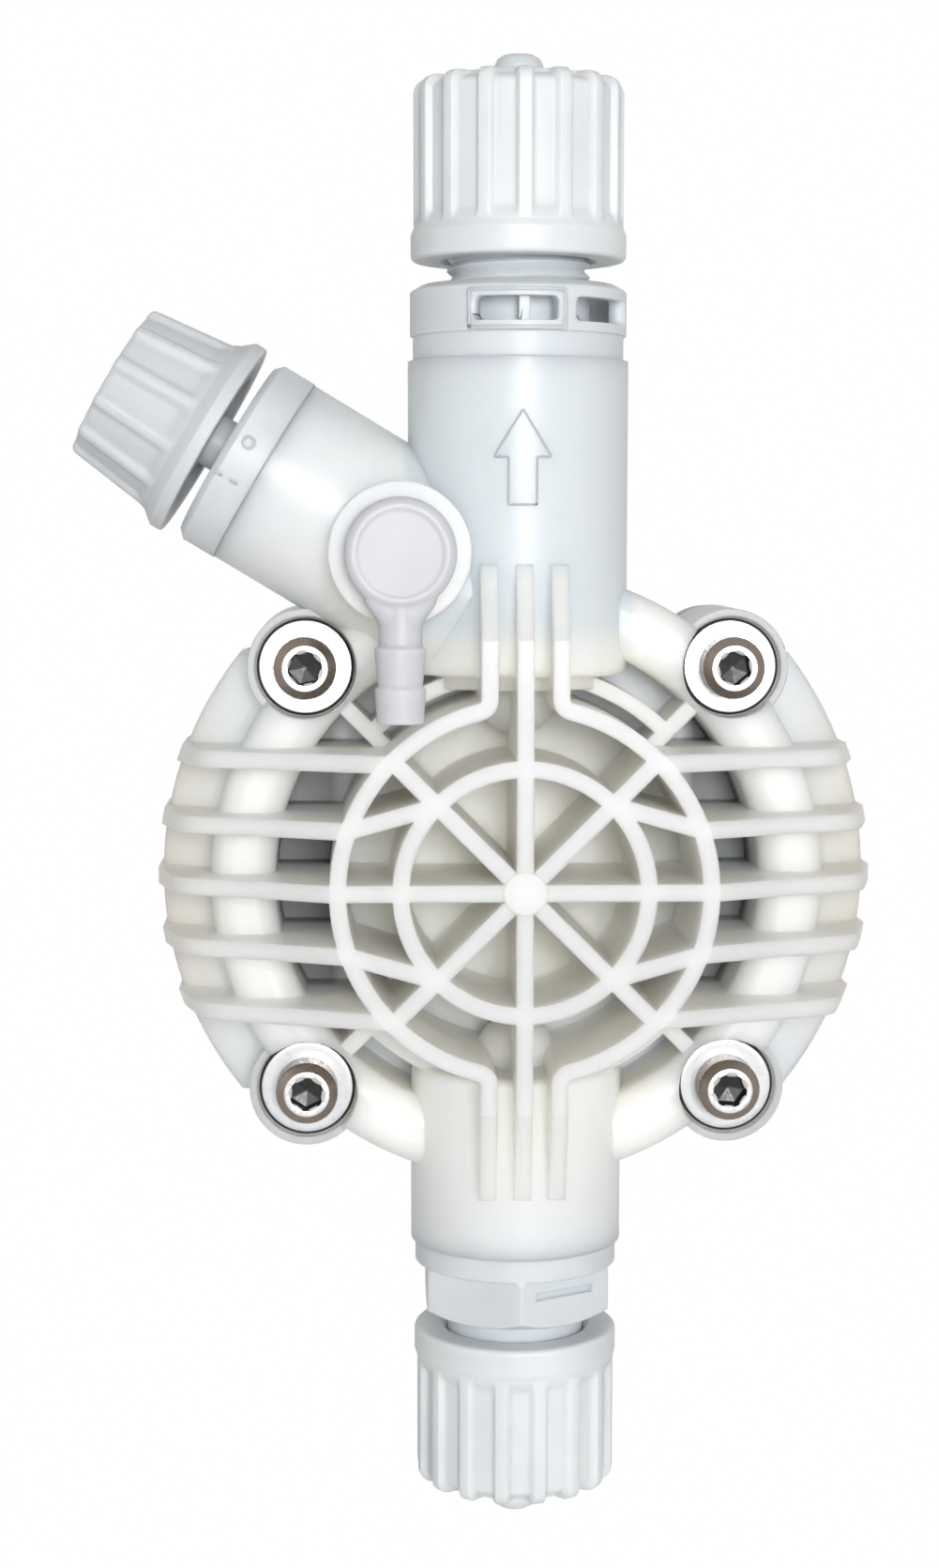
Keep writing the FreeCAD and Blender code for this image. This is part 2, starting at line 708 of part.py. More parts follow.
lower_side = [
    lower_housing,
    rod("LowerPassage", "passage_boss_radius", "lower_housing_start + overrun - (%s)" % passage_low,
        ("0", VALVE_Y, "-lower_housing_start - overrun")),
    ball("LowerPassageEnd", "passage_boss_radius", ("0", VALVE_Y, "-(%s)" % passage_low)),
]


def along_branch(distance):
    """A point on the bleed branch's axis, at a distance from the discharge axis."""
    across = "-(%s) * cos(bleed_angle)" % distance
    height = "bleed_height + (%s) * sin(bleed_angle)" % distance
    return (across, VALVE_Y, height)


BRANCH_TURN = ("0", "1", "0")
BRANCH_ANGLE = "bleed_angle - 90"


def branch_rod(name, radius, start, end):
    """A cylinder along the bleed branch between two distances."""
    return rod(name, radius, "(%s) - (%s)" % (end, start), along_branch(start), BRANCH_TURN, BRANCH_ANGLE)


def branch_turned(name, outline):
    """A body turned about the bleed branch's axis, its outline drawn as (radius, distance)."""
    return turned(name, outline, along_branch("0"), BRANCH_TURN, BRANCH_ANGLE)


hose_x, _, hose_z = along_branch("hose_boss_distance")
upper_side.append(branch_rod("Branch", "branch_radius", "branch_root", "branch_end"))
upper_side.append(forward_rod("HoseBoss", "hose_boss_radius", "valve_axis_depth", "hose_boss_depth",
                              hose_x, hose_z))
head_groups = [
    bossed_plate,
    fuse("UpperSide", upper_side),
    fuse("LowerSide", lower_side),
    fuse("Grille", grille),
    open_side_ribs,
    fuse("Spokes", spokes),
    fuse("Webs", webs),
]
head_solid = built_up("HeadWith", head_groups)

# Everything that is cut from the head: screw holes, valve bores, passages, chamber and bleed bores.
discharge_bore_low = "discharge_seat_top - seat_height"
head_cuts = [
    forward_rod("Chamber", "chamber_radius", "plate_thickness - overrun", "plate_thickness + chamber_depth"),
    rod("DischargeBore", "valve_bore_radius", "upper_housing_top + overrun - (%s)" % discharge_bore_low,
        ("0", VALVE_Y, discharge_bore_low)),
    rod("SuctionBore", "valve_bore_radius", "lower_housing_end + overrun + suction_seat_top + guide_height",
        ("0", VALVE_Y, "-lower_housing_end - overrun")),
    rod("DischargePassage", "passage_radius", "discharge_seat_top - port_height",
        ("0", VALVE_Y, "port_height")),
    rod("SuctionPassage", "passage_radius", "-suction_seat_top - port_height - overrun",
        ("0", VALVE_Y, "suction_seat_top + overrun")),
    ball("DischargeTurn", "passage_radius", ("0", VALVE_Y, "port_height")),
    ball("SuctionTurn", "passage_radius", ("0", VALVE_Y, "-port_height")),
    forward_rod("DischargePort", "passage_radius", HEAD_BACK, "valve_axis_depth", "0", "port_height"),
    forward_rod("SuctionPort", "passage_radius", HEAD_BACK, "valve_axis_depth", "0", "-port_height"),
    branch_rod("BleedHole", "bleed_hole_radius", "0", "bleed_seat_distance + overrun"),
    branch_rod("BranchBore", "branch_bore_radius", "bleed_seat_distance", "branch_end"),
    branch_rod("BranchSocket", "branch_socket_radius", "branch_socket_start", "branch_end + overrun"),
    forward_rod("HosePort", "hose_port_radius", "valve_axis_depth", "hose_boss_depth", hose_x, hose_z),
    forward_rod("HoseSocket", "hose_socket_radius", "hose_socket_depth", "hose_boss_depth + overrun",
                hose_x, hose_z),
]
screw_hole_radius = "screw_shank_radius + screw_hole_clearance"
for number, (x, z) in enumerate(CORNERS):
    head_cuts.append(forward_rod("HeadHole%d" % number, screw_hole_radius, HEAD_BACK + " - overrun",
                                 "boss_depth + overrun", x, z))
    head_cuts.append(forward_rod("WasherSeat%d" % number, "washer_radius + washer_side_clearance",
                                 "washer_seat_depth", "front_depth", x, z))
piece("dosing_head", cut("DosingHead", head_solid, fuse("HeadCuts", head_cuts)))

# Backplate: it has the head's outline, a well for the diaphragm's metal core and four screw holes.
plate_disc = forward_rod("PlateDisc", "plate_radius", "0", "plate_thickness")
plate_round = forward_rod("PlateRound", "ring_outer_radius", "0", "plate_thickness")
plate_band = box("PlateBand", "2 * (plate_radius + overrun)", "plate_thickness + 2 * overrun",
                 "2 * plate_half_height",
                 ("-plate_radius - overrun", "-plate_thickness - overrun", "-plate_half_height"))
plate_solid = common("PlateShape", plate_disc, fuse("PlateOutline", [plate_round, plate_band]))
plate_parts = [plate_solid]
for number, (x, z) in enumerate(CORNERS):
    plate_parts.append(forward_rod("PlateLug%d" % number, "boss_radius - plate_lug_inset", "0",
                                   "plate_thickness", x, z))
membrane_back = "plate_thickness - diaphragm_thickness"
plate_cuts = [
    forward_rod("MembraneSeat", "diaphragm_radius + diaphragm_edge_clearance", membrane_back,
                "plate_thickness + overrun"),
    forward_rod("CoreWell", "core_well_radius", "core_well_floor", "plate_thickness"),
    forward_rod("StudHole", "stud_hole_radius", "-overrun", "plate_thickness"),
]
for number, (x, z) in enumerate(CORNERS):
    plate_cuts.append(forward_rod("PlateHole%d" % number, screw_hole_radius, "-overrun",
                                  "plate_thickness + overrun", x, z))
piece("backplate", cut("Backplate", fuse("PlateSolid", plate_parts), fuse("PlateCuts", plate_cuts)))

# Diaphragm: a flexible disc clamped at its edge, thinner in one ring where it folds.
diaphragm_outline = [
    ("0", membrane_back),
    ("diaphragm_fold_inner", membrane_back),
    ("diaphragm_fold_inner + diaphragm_fold_depth", membrane_back + " + diaphragm_fold_depth"),
    ("diaphragm_fold_outer - diaphragm_fold_depth", membrane_back + " + diaphragm_fold_depth"),
    ("diaphragm_fold_outer", membrane_back),
    ("diaphragm_radius", membrane_back),
    ("diaphragm_radius", "plate_thickness"),
    ("0", "plate_thickness"),
]
piece("diaphragm", turned("Diaphragm", diaphragm_outline, turn=("1", "0", "0"), angle="90"))

# Metal core behind the diaphragm, and the stud that the drive's rod screws on to.
core_back = "(%s - core_thickness)" % membrane_back
core_outline = [
    ("0", core_back + " + core_thread_depth"),
    ("stud_neck_radius + core_thread_clearance", core_back + " + core_thread_depth"),
    ("stud_neck_radius + core_thread_clearance", core_back),
    ("core_radius - core_chamfer", core_back),
    ("core_radius", core_back + " + core_chamfer"),
    ("core_radius", membrane_back),
    ("0", membrane_back),
]
piece("diaphragm_core", turned("DiaphragmCore", core_outline, turn=("1", "0", "0"), angle="90"))
stud_outline = [
    ("0", "-stud_reach"),
    ("stud_radius - stud_chamfer", "-stud_reach"),
    ("stud_radius", "-stud_reach + stud_chamfer"),
    ("stud_radius", "-stud_thread_start"),
    ("stud_neck_radius", "-stud_thread_start"),
    ("stud_neck_radius", core_back + " + core_thread_depth - stud_end_gap"),
    ("0", core_back + " + core_thread_depth - stud_end_gap"),
]
piece("diaphragm_stud", turned("DiaphragmStud", stud_outline, turn=("1", "0", "0"), angle="90"))

# Four socket-head screws and their washers.
washer_front = "(washer_seat_depth + washer_thickness)"


def screw(name, x, z):
    """A socket-head screw whose plain shank ends at the rear face and whose thread stands out behind it."""
    outline = [
        ("0", washer_front + " - screw_length"),
        ("screw_thread_radius - screw_tip_chamfer", washer_front + " - screw_length"),
        ("screw_thread_radius", washer_front + " - screw_length + screw_tip_chamfer"),
        ("screw_thread_radius", "0"),
        ("screw_shank_radius", "0"),
        ("screw_shank_radius", washer_front),
        ("screw_head_radius", washer_front),
        ("screw_head_radius", washer_front + " + screw_head_height - screw_head_chamfer"),
        ("screw_head_radius - screw_head_chamfer", washer_front + " + screw_head_height"),
        ("0", washer_front + " + screw_head_height"),
    ]
    solid = turned(name + "Turned", outline, (x, "0", z), ("1", "0", "0"), "90")
    socket = prism(name + "Socket", "socket_across_flats", "socket_depth + overrun",
                   (x, "-(%s + screw_head_height - socket_depth)" % washer_front, z), ("1", "0", "0"), "90")
    return cut(name, solid, socket)


def washer(name, x, z):
    disc = forward_rod(name + "Disc", "washer_radius", "washer_seat_depth", washer_front, x, z)
    hole = forward_rod(name + "Hole", "washer_hole_radius", "washer_seat_depth - overrun",
                       washer_front + " + overrun", x, z)
    return cut(name, disc, hole)


piece("head_screws", joined_copies("HeadScrews", screw, CORNERS))
piece("head_washers", joined_copies("HeadWashers", washer, CORNERS))

# Ball valves: seat, ball, guide cage and two O-rings, the same parts above and below the chamber.
seat_cone_root = "(seat_bore_radius - seat_height + seat_cone_depth)"
ball_rise = "(sqrt(2) * (ball_radius + ball_seat_clearance) - seat_bore_radius - seat_cone_depth)"
insert_radius = "(valve_bore_radius - valve_fit_clearance)"
groove_inner = "(ring_seal_radius - ring_seal_section - ring_seal_clearance)"
groove_outer = "(ring_seal_radius + ring_seal_section + ring_seal_clearance)"
groove_depth = "(2 * ring_seal_section)"


def turned_corner(reach, turn, level):
    """The low corner of a cage rib that starts at a reach from the valve's axis and is turned about it."""
    across = "%s * cos(%s) + guide_rib_width / 2 * sin(%s)" % (reach, turn, turn)
    along = "%s + %s * sin(%s) - guide_rib_width / 2 * cos(%s)" % (VALVE_Y, reach, turn, turn)
    return (across, along, level)


def ball_valve(prefix, seat_top):
    """One ball valve whose seat ends at a height and whose cage stands on it. Liquid flows upward."""
    seat_low = "(%s) - seat_height" % seat_top
    seat_outline = [
        ("seat_bore_radius", seat_low),
        (groove_inner, seat_low),
        (groove_inner, seat_low + " + " + groove_depth),
        (groove_outer, seat_low + " + " + groove_depth),
        (groove_outer, seat_low),
        (insert_radius, seat_low),
        (insert_radius, seat_top),
        ("seat_bore_radius + seat_cone_depth", seat_top),
        ("seat_bore_radius", "(%s) - seat_cone_depth" % seat_top),
    ]
    at = ("0", VALVE_Y, "0")
    piece(prefix + "_seat", turned(prefix + "Seat", seat_outline, at))
    ball_middle = ("0", VALVE_Y, "(%s) + %s" % (seat_top, ball_rise))
    piece(prefix + "_ball", ball(prefix + "Ball", "ball_radius", ball_middle))
    guide_top = "(%s) + guide_height" % seat_top
    guide_outline = [
        ("guide_inner_radius", seat_top),
        (insert_radius, seat_top),
        (insert_radius, guide_top),
        (groove_outer, guide_top),
        (groove_outer, "%s - %s" % (guide_top, groove_depth)),
        (groove_inner, "%s - %s" % (guide_top, groove_depth)),
        (groove_inner, guide_top),
        (groove_inner + " - groove_lip", guide_top),
        (groove_inner + " - groove_lip", "%s - %s - groove_floor" % (guide_top, groove_depth)),
        ("guide_inner_radius", "%s - %s - groove_floor" % (guide_top, groove_depth)),
    ]
    tube = turned(prefix + "GuideTube", guide_outline, at)
    parts = [tube]
    stop_low = "(%s) + %s + ball_radius + ball_lift + stop_clearance" % (seat_top, ball_rise)
    rib_inner = "(ball_radius + guide_rib_clearance)"
    rib_length = "guide_inner_radius + guide_rib_bury - %s" % rib_inner
    for number, turn in enumerate(("0", "90", "180", "270")):
        corner = turned_corner(rib_inner, turn, seat_top)
        parts.append(box("%sGuideRib%d" % (prefix, number), rib_length, "guide_rib_width", "guide_height",
                         corner, ("0", "0", "1"), turn))
    for number, turn in enumerate(("0", "90")):
        corner = turned_corner("(-guide_inner_radius)", turn, stop_low)
        parts.append(box("%sStop%d" % (prefix, number), "2 * guide_inner_radius", "guide_rib_width",
                         "%s - (%s)" % (guide_top, stop_low), corner, ("0", "0", "1"), turn))
    piece(prefix + "_ball_guide", fuse(prefix + "Guide", parts))
    seal_levels = (("lower", seat_low + " + ring_seal_section"), ("upper", guide_top + " - ring_seal_section"))
    for level, height in seal_levels:
        ring = seal("%s%sRing" % (prefix, level.title()), "ring_seal_radius", "ring_seal_section",
                    ("0", VALVE_Y, height))
        piece("%s_%s_o_ring" % (prefix, level), ring)


ball_valve("discharge", "discharge_seat_top")
ball_valve("suction", "suction_seat_top")

# Discharge connector: threaded spigot, band, collar with a well and spanner windows, and neck.
spigot_end = "(discharge_seat_top + guide_height)"
band_top = "(upper_housing_top + upper_band_height)"
collar_top = "(%s + collar_height)" % band_top
well_floor = "(%s + collar_floor_height)" % band_top
connector_outline = [
    ("neck_bore_radius", spigot_end),
    (insert_radius, spigot_end),
    (insert_radius, "upper_housing_top"),
    ("upper_band_radius", "upper_housing_top"),
    ("upper_band_radius", band_top),
    ("collar_radius", band_top),
    ("collar_radius", collar_top + " - collar_top_drop"),
    ("collar_radius - collar_top_inset", collar_top),
    ("collar_well_radius", collar_top),
    ("collar_well_radius", well_floor),
    ("upper_neck_radius", well_floor),
    ("upper_neck_radius", "upper_neck_top - neck_chamfer"),
    ("upper_neck_radius - neck_chamfer", "upper_neck_top"),
    ("neck_bore_radius", "upper_neck_top"),
]
connector = turned("DischargeConnector", connector_outline, ("0", VALVE_Y, "0"))
window_tools = []
for number, middle in enumerate(("-90", "-90 + window_step_angle", "90", "90 + window_step_angle")):
    wedge = rod("WindowWedge%d" % number, "collar_radius + overrun", "window_height",
                ("0", VALVE_Y, band_top + " + window_bottom"), ("0", "0", "1"),
                "%s - window_turn_angle - window_half_angle" % middle, "2 * window_half_angle")
    window_tools.append(wedge)
window_core = rod("WindowCore", "(collar_well_radius + upper_neck_radius) / 2", "window_height + 2 * overrun",
                  ("0", VALVE_Y, band_top + " + window_bottom - overrun"))
windows = cut("SpannerWindows", fuse("WindowWedges", window_tools), window_core)
web_bury = "(collar_radius - collar_well_radius) / 4"
collar_webs = []
for number, y in enumerate(("- collar_well_radius - %s" % web_bury, "+ upper_neck_radius - %s" % web_bury)):
    collar_webs.append(box("CollarWeb%d" % number, "collar_web_width",
                           "collar_well_radius - upper_neck_radius + 2 * %s" % web_bury,
                           "collar_height - collar_floor_height - collar_web_drop",
                           ("-collar_web_width / 2", "%s %s" % (VALVE_Y, y), well_floor)))
open_connector = cut("ConnectorOpen", connector, windows)
piece("discharge_connector", fuse("DischargeConnectorWebbed", [open_connector] + collar_webs))

# Suction connector: spigot, band, hexagon with a spanner slot on one face, and neck.
hex_top = "(lower_housing_end + lower_band_height)"
hex_end = "(%s + hexagon_height)" % hex_top
hex_corner = "(hexagon_across_flats / sqrt(3))"
lower_spigot = "(seat_height - suction_seat_top)"
lower_outline = [
    ("neck_bore_radius", "-" + lower_spigot),
    (insert_radius, "-" + lower_spigot),
    (insert_radius, "-lower_housing_end"),
    ("lower_band_radius", "-lower_housing_end"),
    ("lower_band_radius", "-%s" % hex_top),
    (hex_corner, "-%s - hexagon_chamfer / 2" % hex_top),
    (hex_corner, "-%s + hexagon_chamfer" % hex_end),
    ("hexagon_across_flats / 2", "-%s" % hex_end),
    ("lower_neck_radius", "-%s" % hex_end),
    ("lower_neck_radius", "-lower_neck_end + neck_chamfer"),
    ("lower_neck_radius - neck_chamfer", "-lower_neck_end"),
    ("neck_bore_radius", "-lower_neck_end"),
]
lower_turned = turned("SuctionConnectorTurned", lower_outline, ("0", VALVE_Y, "0"))
hex_limit = prism("HexLimit", "hexagon_across_flats", "hexagon_height", ("0", VALVE_Y, "-%s" % hex_end),
                  angle="90")
above_hex = rod("AboveHex", "upper_housing_radius", "%s - %s" % (hex_top, lower_spigot),
                ("0", VALVE_Y, "-%s" % hex_top))
below_hex = rod("BelowHex", "lower_neck_radius + valve_fit_clearance", "lower_neck_end - %s" % hex_end,
                ("0", VALVE_Y, "-lower_neck_end"))
hexed = common("SuctionConnectorHexed", lower_turned, fuse("HexZones", [hex_limit, above_hex, below_hex]))
slot_reach = "(hexagon_across_flats / 2 + overrun)"
slot_half = "hexagon_slot_length / 2"
slot_sin, slot_cos = "sin(hexagon_slot_angle)", "cos(hexagon_slot_angle)"
slot_corner = (
    "%s * %s - %s * %s" % (slot_reach, slot_sin, slot_half, slot_cos),
    "%s - %s * %s - %s * %s" % (VALVE_Y, slot_reach, slot_cos, slot_half, slot_sin),
    "-%s + hexagon_chamfer + hexagon_slot_rise" % hex_end,
)
slot = box("HexSlot", "hexagon_slot_length", "hexagon_slot_depth + overrun", "hexagon_slot_height",
           slot_corner, ("0", "0", "1"), "hexagon_slot_angle")
piece("suction_connector", cut("SuctionConnector", hexed, slot))


def union_nut(name, neck_radius, nut_radius, skirt_radius, height, at, turn=("0", "0", "1"), angle="0"):
    """A fluted union nut that opens at local height 0 and has its hose hole at the top."""
    bore = "(%s + nut_thread_clearance)" % neck_radius
    plate_low = "(%s - nut_plate_thickness)" % height
    outline = [
        (bore + " + nut_rim_chamfer", "0"),
        ("%s - nut_rim_chamfer" % skirt_radius, "0"),
        (skirt_radius, "nut_rim_chamfer"),
        (skirt_radius, "skirt_height"),
        (nut_radius, "skirt_height + skirt_step"),
        (nut_radius, height),
        ("nut_hole_radius", height),
        ("nut_hole_radius", plate_low),
        ("nut_cone_radius", plate_low),
        (bore, plate_low + " - nut_cone_height"),
        (bore, "nut_rim_chamfer"),
    ]
    body = turned(name, outline, at, turn, angle)
    rounded(body, "nut_rounding", [(nut_radius, height)])
    fluted(body, name, "flute_radius", "flute_depth", nut_radius, "skirt_height + flute_rise",
           "%s + overrun" % height, "nut_flutes")
    return body


def hose_nozzle(name, length, at, turn=("0", "0", "1"), angle="0"):
    """A flanged nozzle that stands on the end of a neck at local height 0, with a spigot in its bore."""
    spigot = "(neck_bore_radius - nozzle_fit_clearance)"
    outline = [
        ("nozzle_bore_radius", "-nozzle_spigot_length"),
        (spigot, "-nozzle_spigot_length"),
        (spigot, "0"),
        ("nozzle_flange_radius", "0"),
        ("nozzle_flange_radius", "nozzle_flange_thickness"),
        ("nozzle_neck_radius", "nozzle_flange_thickness"),
        ("nozzle_neck_radius", "(%s) / 2 - nozzle_barb_slope" % length),
        ("nozzle_tip_radius", "(%s) / 2" % length),
        ("nozzle_tip_radius", "(%s) - nozzle_tip_length" % length),
        ("nozzle_tip_radius - nozzle_barb_slope", "(%s) - nozzle_nose_length" % length),
        ("nozzle_tip_radius - nozzle_nose_inset", length),
        ("nozzle_bore_radius", length),
    ]
    return turned(name, outline, at, turn, angle)


def clamp_ring(name, at, turn=("0", "0", "1"), angle="0"):
    """The ring that the nut's cone presses on to the hose."""
    outline = [
        ("clamp_ring_bore", "0"),
        ("clamp_ring_radius", "0"),
        ("clamp_ring_radius", "clamp_ring_height / 3"),
        ("clamp_ring_top_radius", "clamp_ring_height"),
        ("clamp_ring_bore", "clamp_ring_height"),
    ]
    return turned(name, outline, at, turn, angle)


OVER = ("1", "0", "0")
ring_rise = "(nozzle_flange_thickness + clamp_ring_gap)"
on_neck = ("0", VALVE_Y, "upper_neck_top")
over_ring = ("0", VALVE_Y, "upper_neck_top + %s" % ring_rise)
below_neck = ("0", VALVE_Y, "-lower_neck_end")
below_ring = ("0", VALVE_Y, "-lower_neck_end - %s" % ring_rise)
piece("discharge_union_nut",
      union_nut("DischargeNut", "upper_neck_radius", "upper_nut_radius", "upper_skirt_radius",
                "upper_nut_height", ("0", VALVE_Y, "upper_nut_bottom")))
piece("discharge_hose_nozzle", hose_nozzle("DischargeNozzle", "upper_nozzle_length", on_neck))
piece("discharge_clamp_ring", clamp_ring("DischargeClamp", over_ring))
piece("suction_union_nut",
      union_nut("SuctionNut", "lower_neck_radius", "lower_nut_radius", "lower_skirt_radius",
                "lower_nut_height", ("0", VALVE_Y, "-lower_nut_top"), OVER, "180"))
piece("suction_hose_nozzle", hose_nozzle("SuctionNozzle", "lower_nozzle_length", below_neck, OVER, "180"))
piece("suction_clamp_ring", clamp_ring("SuctionClamp", below_ring, OVER, "180"))

# Bleed valve: gland collar, stem with its O-ring, a seal tip that does not turn, and the knob.
collar_end = "(branch_end + collar_ring_length)"
stem_hole = "(stem_radius + stem_fit_clearance)"
gland_outline = [
    (stem_hole, "branch_socket_start + gland_setback"),
    ("branch_socket_radius - valve_fit_clearance", "branch_socket_start + gland_setback"),
    ("branch_socket_radius - valve_fit_clearance", "branch_end"),
    ("collar_ring_radius", "branch_end"),
    ("collar_ring_radius", collar_end + " - collar_chamfer"),
    ("collar_ring_radius - collar_chamfer", collar_end),
    (stem_hole, collar_end),
]
piece("bleed_collar", branch_turned("BleedCollar", gland_outline))
stem_middle = "((stem_piston_start + stem_piston_end) / 2)"
stem_groove = "(branch_bore_radius - 2 * bleed_seal_section - 2 * ring_seal_clearance)"
stem_outline = [
    ("tip_pin_radius + tip_pin_clearance", "stem_piston_start"),
    ("stem_piston_radius", "stem_piston_start"),
    ("stem_piston_radius", stem_middle + " - bleed_seal_section - groove_side_clearance"),
    (stem_groove, stem_middle + " - bleed_seal_section - groove_side_clearance"),
    (stem_groove, stem_middle + " + bleed_seal_section + groove_side_clearance"),
    ("stem_piston_radius", stem_middle + " + bleed_seal_section + groove_side_clearance"),
    ("stem_piston_radius", "stem_piston_end"),
    ("stem_radius", "stem_piston_end"),
    ("stem_radius", "stem_end"),
    ("0", "stem_end"),
    ("0", "stem_piston_start + tip_pin_length + tip_pin_end_gap"),
    ("tip_pin_radius + tip_pin_clearance", "stem_piston_start + tip_pin_length + tip_pin_end_gap"),
]
piece("bleed_stem", branch_turned("BleedStem", stem_outline))
piece("bleed_o_ring", seal("BleedRing", "branch_bore_radius - ring_seal_clearance - bleed_seal_section",
                           "bleed_seal_section", along_branch(stem_middle), BRANCH_TURN, BRANCH_ANGLE))
cone_root = "(bleed_seat_distance - bleed_hole_radius + tip_seat_clearance * sqrt(2))"
tip_outline = [
    ("0", cone_root + " + tip_nose_radius"),
    ("tip_nose_radius", cone_root + " + tip_nose_radius"),
    ("tip_head_radius", cone_root + " + tip_head_radius"),
    ("tip_head_radius", "stem_piston_start - tip_shoulder_gap"),
    ("tip_pin_radius", "stem_piston_start - tip_shoulder_gap"),
    ("tip_pin_radius", "stem_piston_start + tip_pin_length"),
    ("0", "stem_piston_start + tip_pin_length"),
]
piece("bleed_seal_tip", branch_turned("BleedTip", tip_outline))
knob_floor = "(knob_base + knob_well_depth)"
knob_outline = [
    ("0", "stem_end + knob_floor_gap"),
    (stem_hole, "stem_end + knob_floor_gap"),
    (stem_hole, "knob_base + knob_boss_setback"),
    ("knob_boss_radius", "knob_base + knob_boss_setback"),
    ("knob_boss_radius", knob_floor),
    ("knob_well_radius", knob_floor),
    ("knob_well_radius + knob_well_draft", "knob_base"),
    ("knob_base_radius", "knob_base"),
    ("knob_base_radius", "knob_base + knob_rim_height"),
    ("knob_shoulder_radius", "knob_base + knob_flare_length"),
    ("knob_end_radius", "knob_end"),
    ("0", "knob_end"),
]
knob = branch_turned("BleedKnob", knob_outline)
rounded(knob, "knob_rounding", [("knob_end_radius", "knob_end")])
knob_run = "(knob_end - knob_base - knob_flare_length)"
knob_taper = "(atan((knob_shoulder_radius - knob_end_radius) / %s) / 1 deg)" % knob_run
fluted(knob, "BleedKnob", "knob_flute_radius", "knob_flute_depth", "knob_shoulder_radius",
       "knob_base + knob_flare_length + knob_flute_rise", "knob_end + 2 * overrun",
       "knob_flutes", "-" + knob_taper)
piece("bleed_knob", knob)

# Hose elbow: a plug in the boss, a round cap in front of it and a barbed nozzle that points down.
seal_middle = "((hose_socket_depth + hose_boss_depth) / 2)"
elbow_groove = "(hose_socket_radius - 2 * elbow_seal_section - 2 * ring_seal_clearance)"
plug_radius = "(hose_socket_radius - elbow_fit_clearance)"
cap_back = "(hose_boss_depth + elbow_face_gap)"
plug_outline = [
    ("elbow_bore_radius", "hose_socket_depth + elbow_face_gap"),
    (plug_radius, "hose_socket_depth + elbow_face_gap"),
    (plug_radius, seal_middle + " - elbow_seal_section - groove_side_clearance"),
    (elbow_groove, seal_middle + " - elbow_seal_section - groove_side_clearance"),
    (elbow_groove, seal_middle + " + elbow_seal_section + groove_side_clearance"),
    (plug_radius, seal_middle + " + elbow_seal_section + groove_side_clearance"),
    (plug_radius, cap_back),
    ("elbow_cap_radius", cap_back),
    ("elbow_cap_radius", "elbow_cap_front"),
    ("0", "elbow_cap_front"),
    ("0", "(%s + elbow_cap_front) / 2" % cap_back),
    ("elbow_bore_radius", "(%s + elbow_cap_front) / 2" % cap_back),
]
plug = turned("ElbowPlug", plug_outline, (hose_x, "0", hose_z), ("1", "0", "0"), "90")
rounded(plug, "elbow_cap_rounding", [("elbow_cap_radius", "elbow_cap_front")])
shoulder_outline = [
    ("-elbow_shoulder_half", "0"),
    ("-elbow_shoulder_half", "-elbow_shoulder_drop"),
    ("-elbow_neck_radius", "-elbow_neck_drop"),
    ("elbow_neck_radius", "-elbow_neck_drop"),
    ("elbow_shoulder_half", "-elbow_shoulder_drop"),
    ("elbow_shoulder_half", "0"),
]
shoulder = deep("ElbowShoulder", shoulder_outline, cap_back, "elbow_cap_front - elbow_shoulder_setback",
                hose_x, hose_z)
nozzle_depth = "((%s + elbow_cap_front) / 2)" % cap_back
nozzle_outline = [
    ("0", "0"),
    ("elbow_neck_radius", "0"),
    ("elbow_neck_radius", "elbow_barb_drop - elbow_barb_slope"),
    ("elbow_barb_radius", "elbow_barb_drop"),
    ("elbow_neck_radius", "elbow_second_drop - elbow_barb_slope"),
    ("elbow_barb_radius", "elbow_second_drop"),
    ("elbow_end_radius", "elbow_end_drop - elbow_end_chamfer"),
    ("elbow_end_radius - elbow_end_chamfer", "elbow_end_drop"),
    ("0", "elbow_end_drop"),
]
nozzle = turned("ElbowNozzle", nozzle_outline, (hose_x, "-" + nozzle_depth, hose_z), OVER, "180")
drip = rod("ElbowDrip", "elbow_bore_radius", "elbow_end_drop + overrun",
           (hose_x, "-" + nozzle_depth, hose_z), OVER, "180")
inner = forward_rod("ElbowInner", "elbow_bore_radius", "hose_socket_depth", nozzle_depth, hose_x, hose_z)
elbow_solid = fuse("ElbowSolid", [plug, shoulder, nozzle])
piece("bleed_hose_elbow", cut("HoseElbow", elbow_solid, fuse("ElbowBores", [drip, inner])))
elbow_ring = seal("ElbowRing", "hose_socket_radius - ring_seal_clearance - elbow_seal_section",
                  "elbow_seal_section", (hose_x, "-(%s)" % seal_middle, hose_z), ("1", "0", "0"), "90")
piece("elbow_o_ring", elbow_ring)

doc.recompute()
for thing in doc.Objects:
    if "Invalid" in thing.State or "Error" in thing.State:
        raise RuntimeError("%s did not rebuild" % thing.Label)
for label, thing in PIECES.items():
    shape = thing.Shape
    if shape.isNull() or not shape.isValid() or not shape.Solids:
        raise RuntimeError("%s has no valid solid" % label)
for label, thing in PIECES.items():
    thing.Shape.exportStep("parts/%s.step" % label)
    box_size = thing.Shape.BoundBox
    print("%-24s solids %d  volume %9.1f  x %.1f..%.1f  y %.1f..%.1f  z %.1f..%.1f" % (
        label, len(thing.Shape.Solids), thing.Shape.Volume, box_size.XMin, box_size.XMax,
        box_size.YMin, box_size.YMax, box_size.ZMin, box_size.ZMax))
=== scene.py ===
# %% [markdown]
# # Liquid end of a diaphragm metering pump
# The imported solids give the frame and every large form. This lesson dresses them: it gives each
# piece its real material, and swaps the small parts that need finer shapes, such as threads,
# fluted nuts and socket screws, for surfaces worked out with numpy. Blender's lengths are metres;
# profiles are written in millimetres, as on a drawing, and MM turns them to metres.

# %% Frame
import math
import bpy
import numpy as np
from mathutils import Matrix


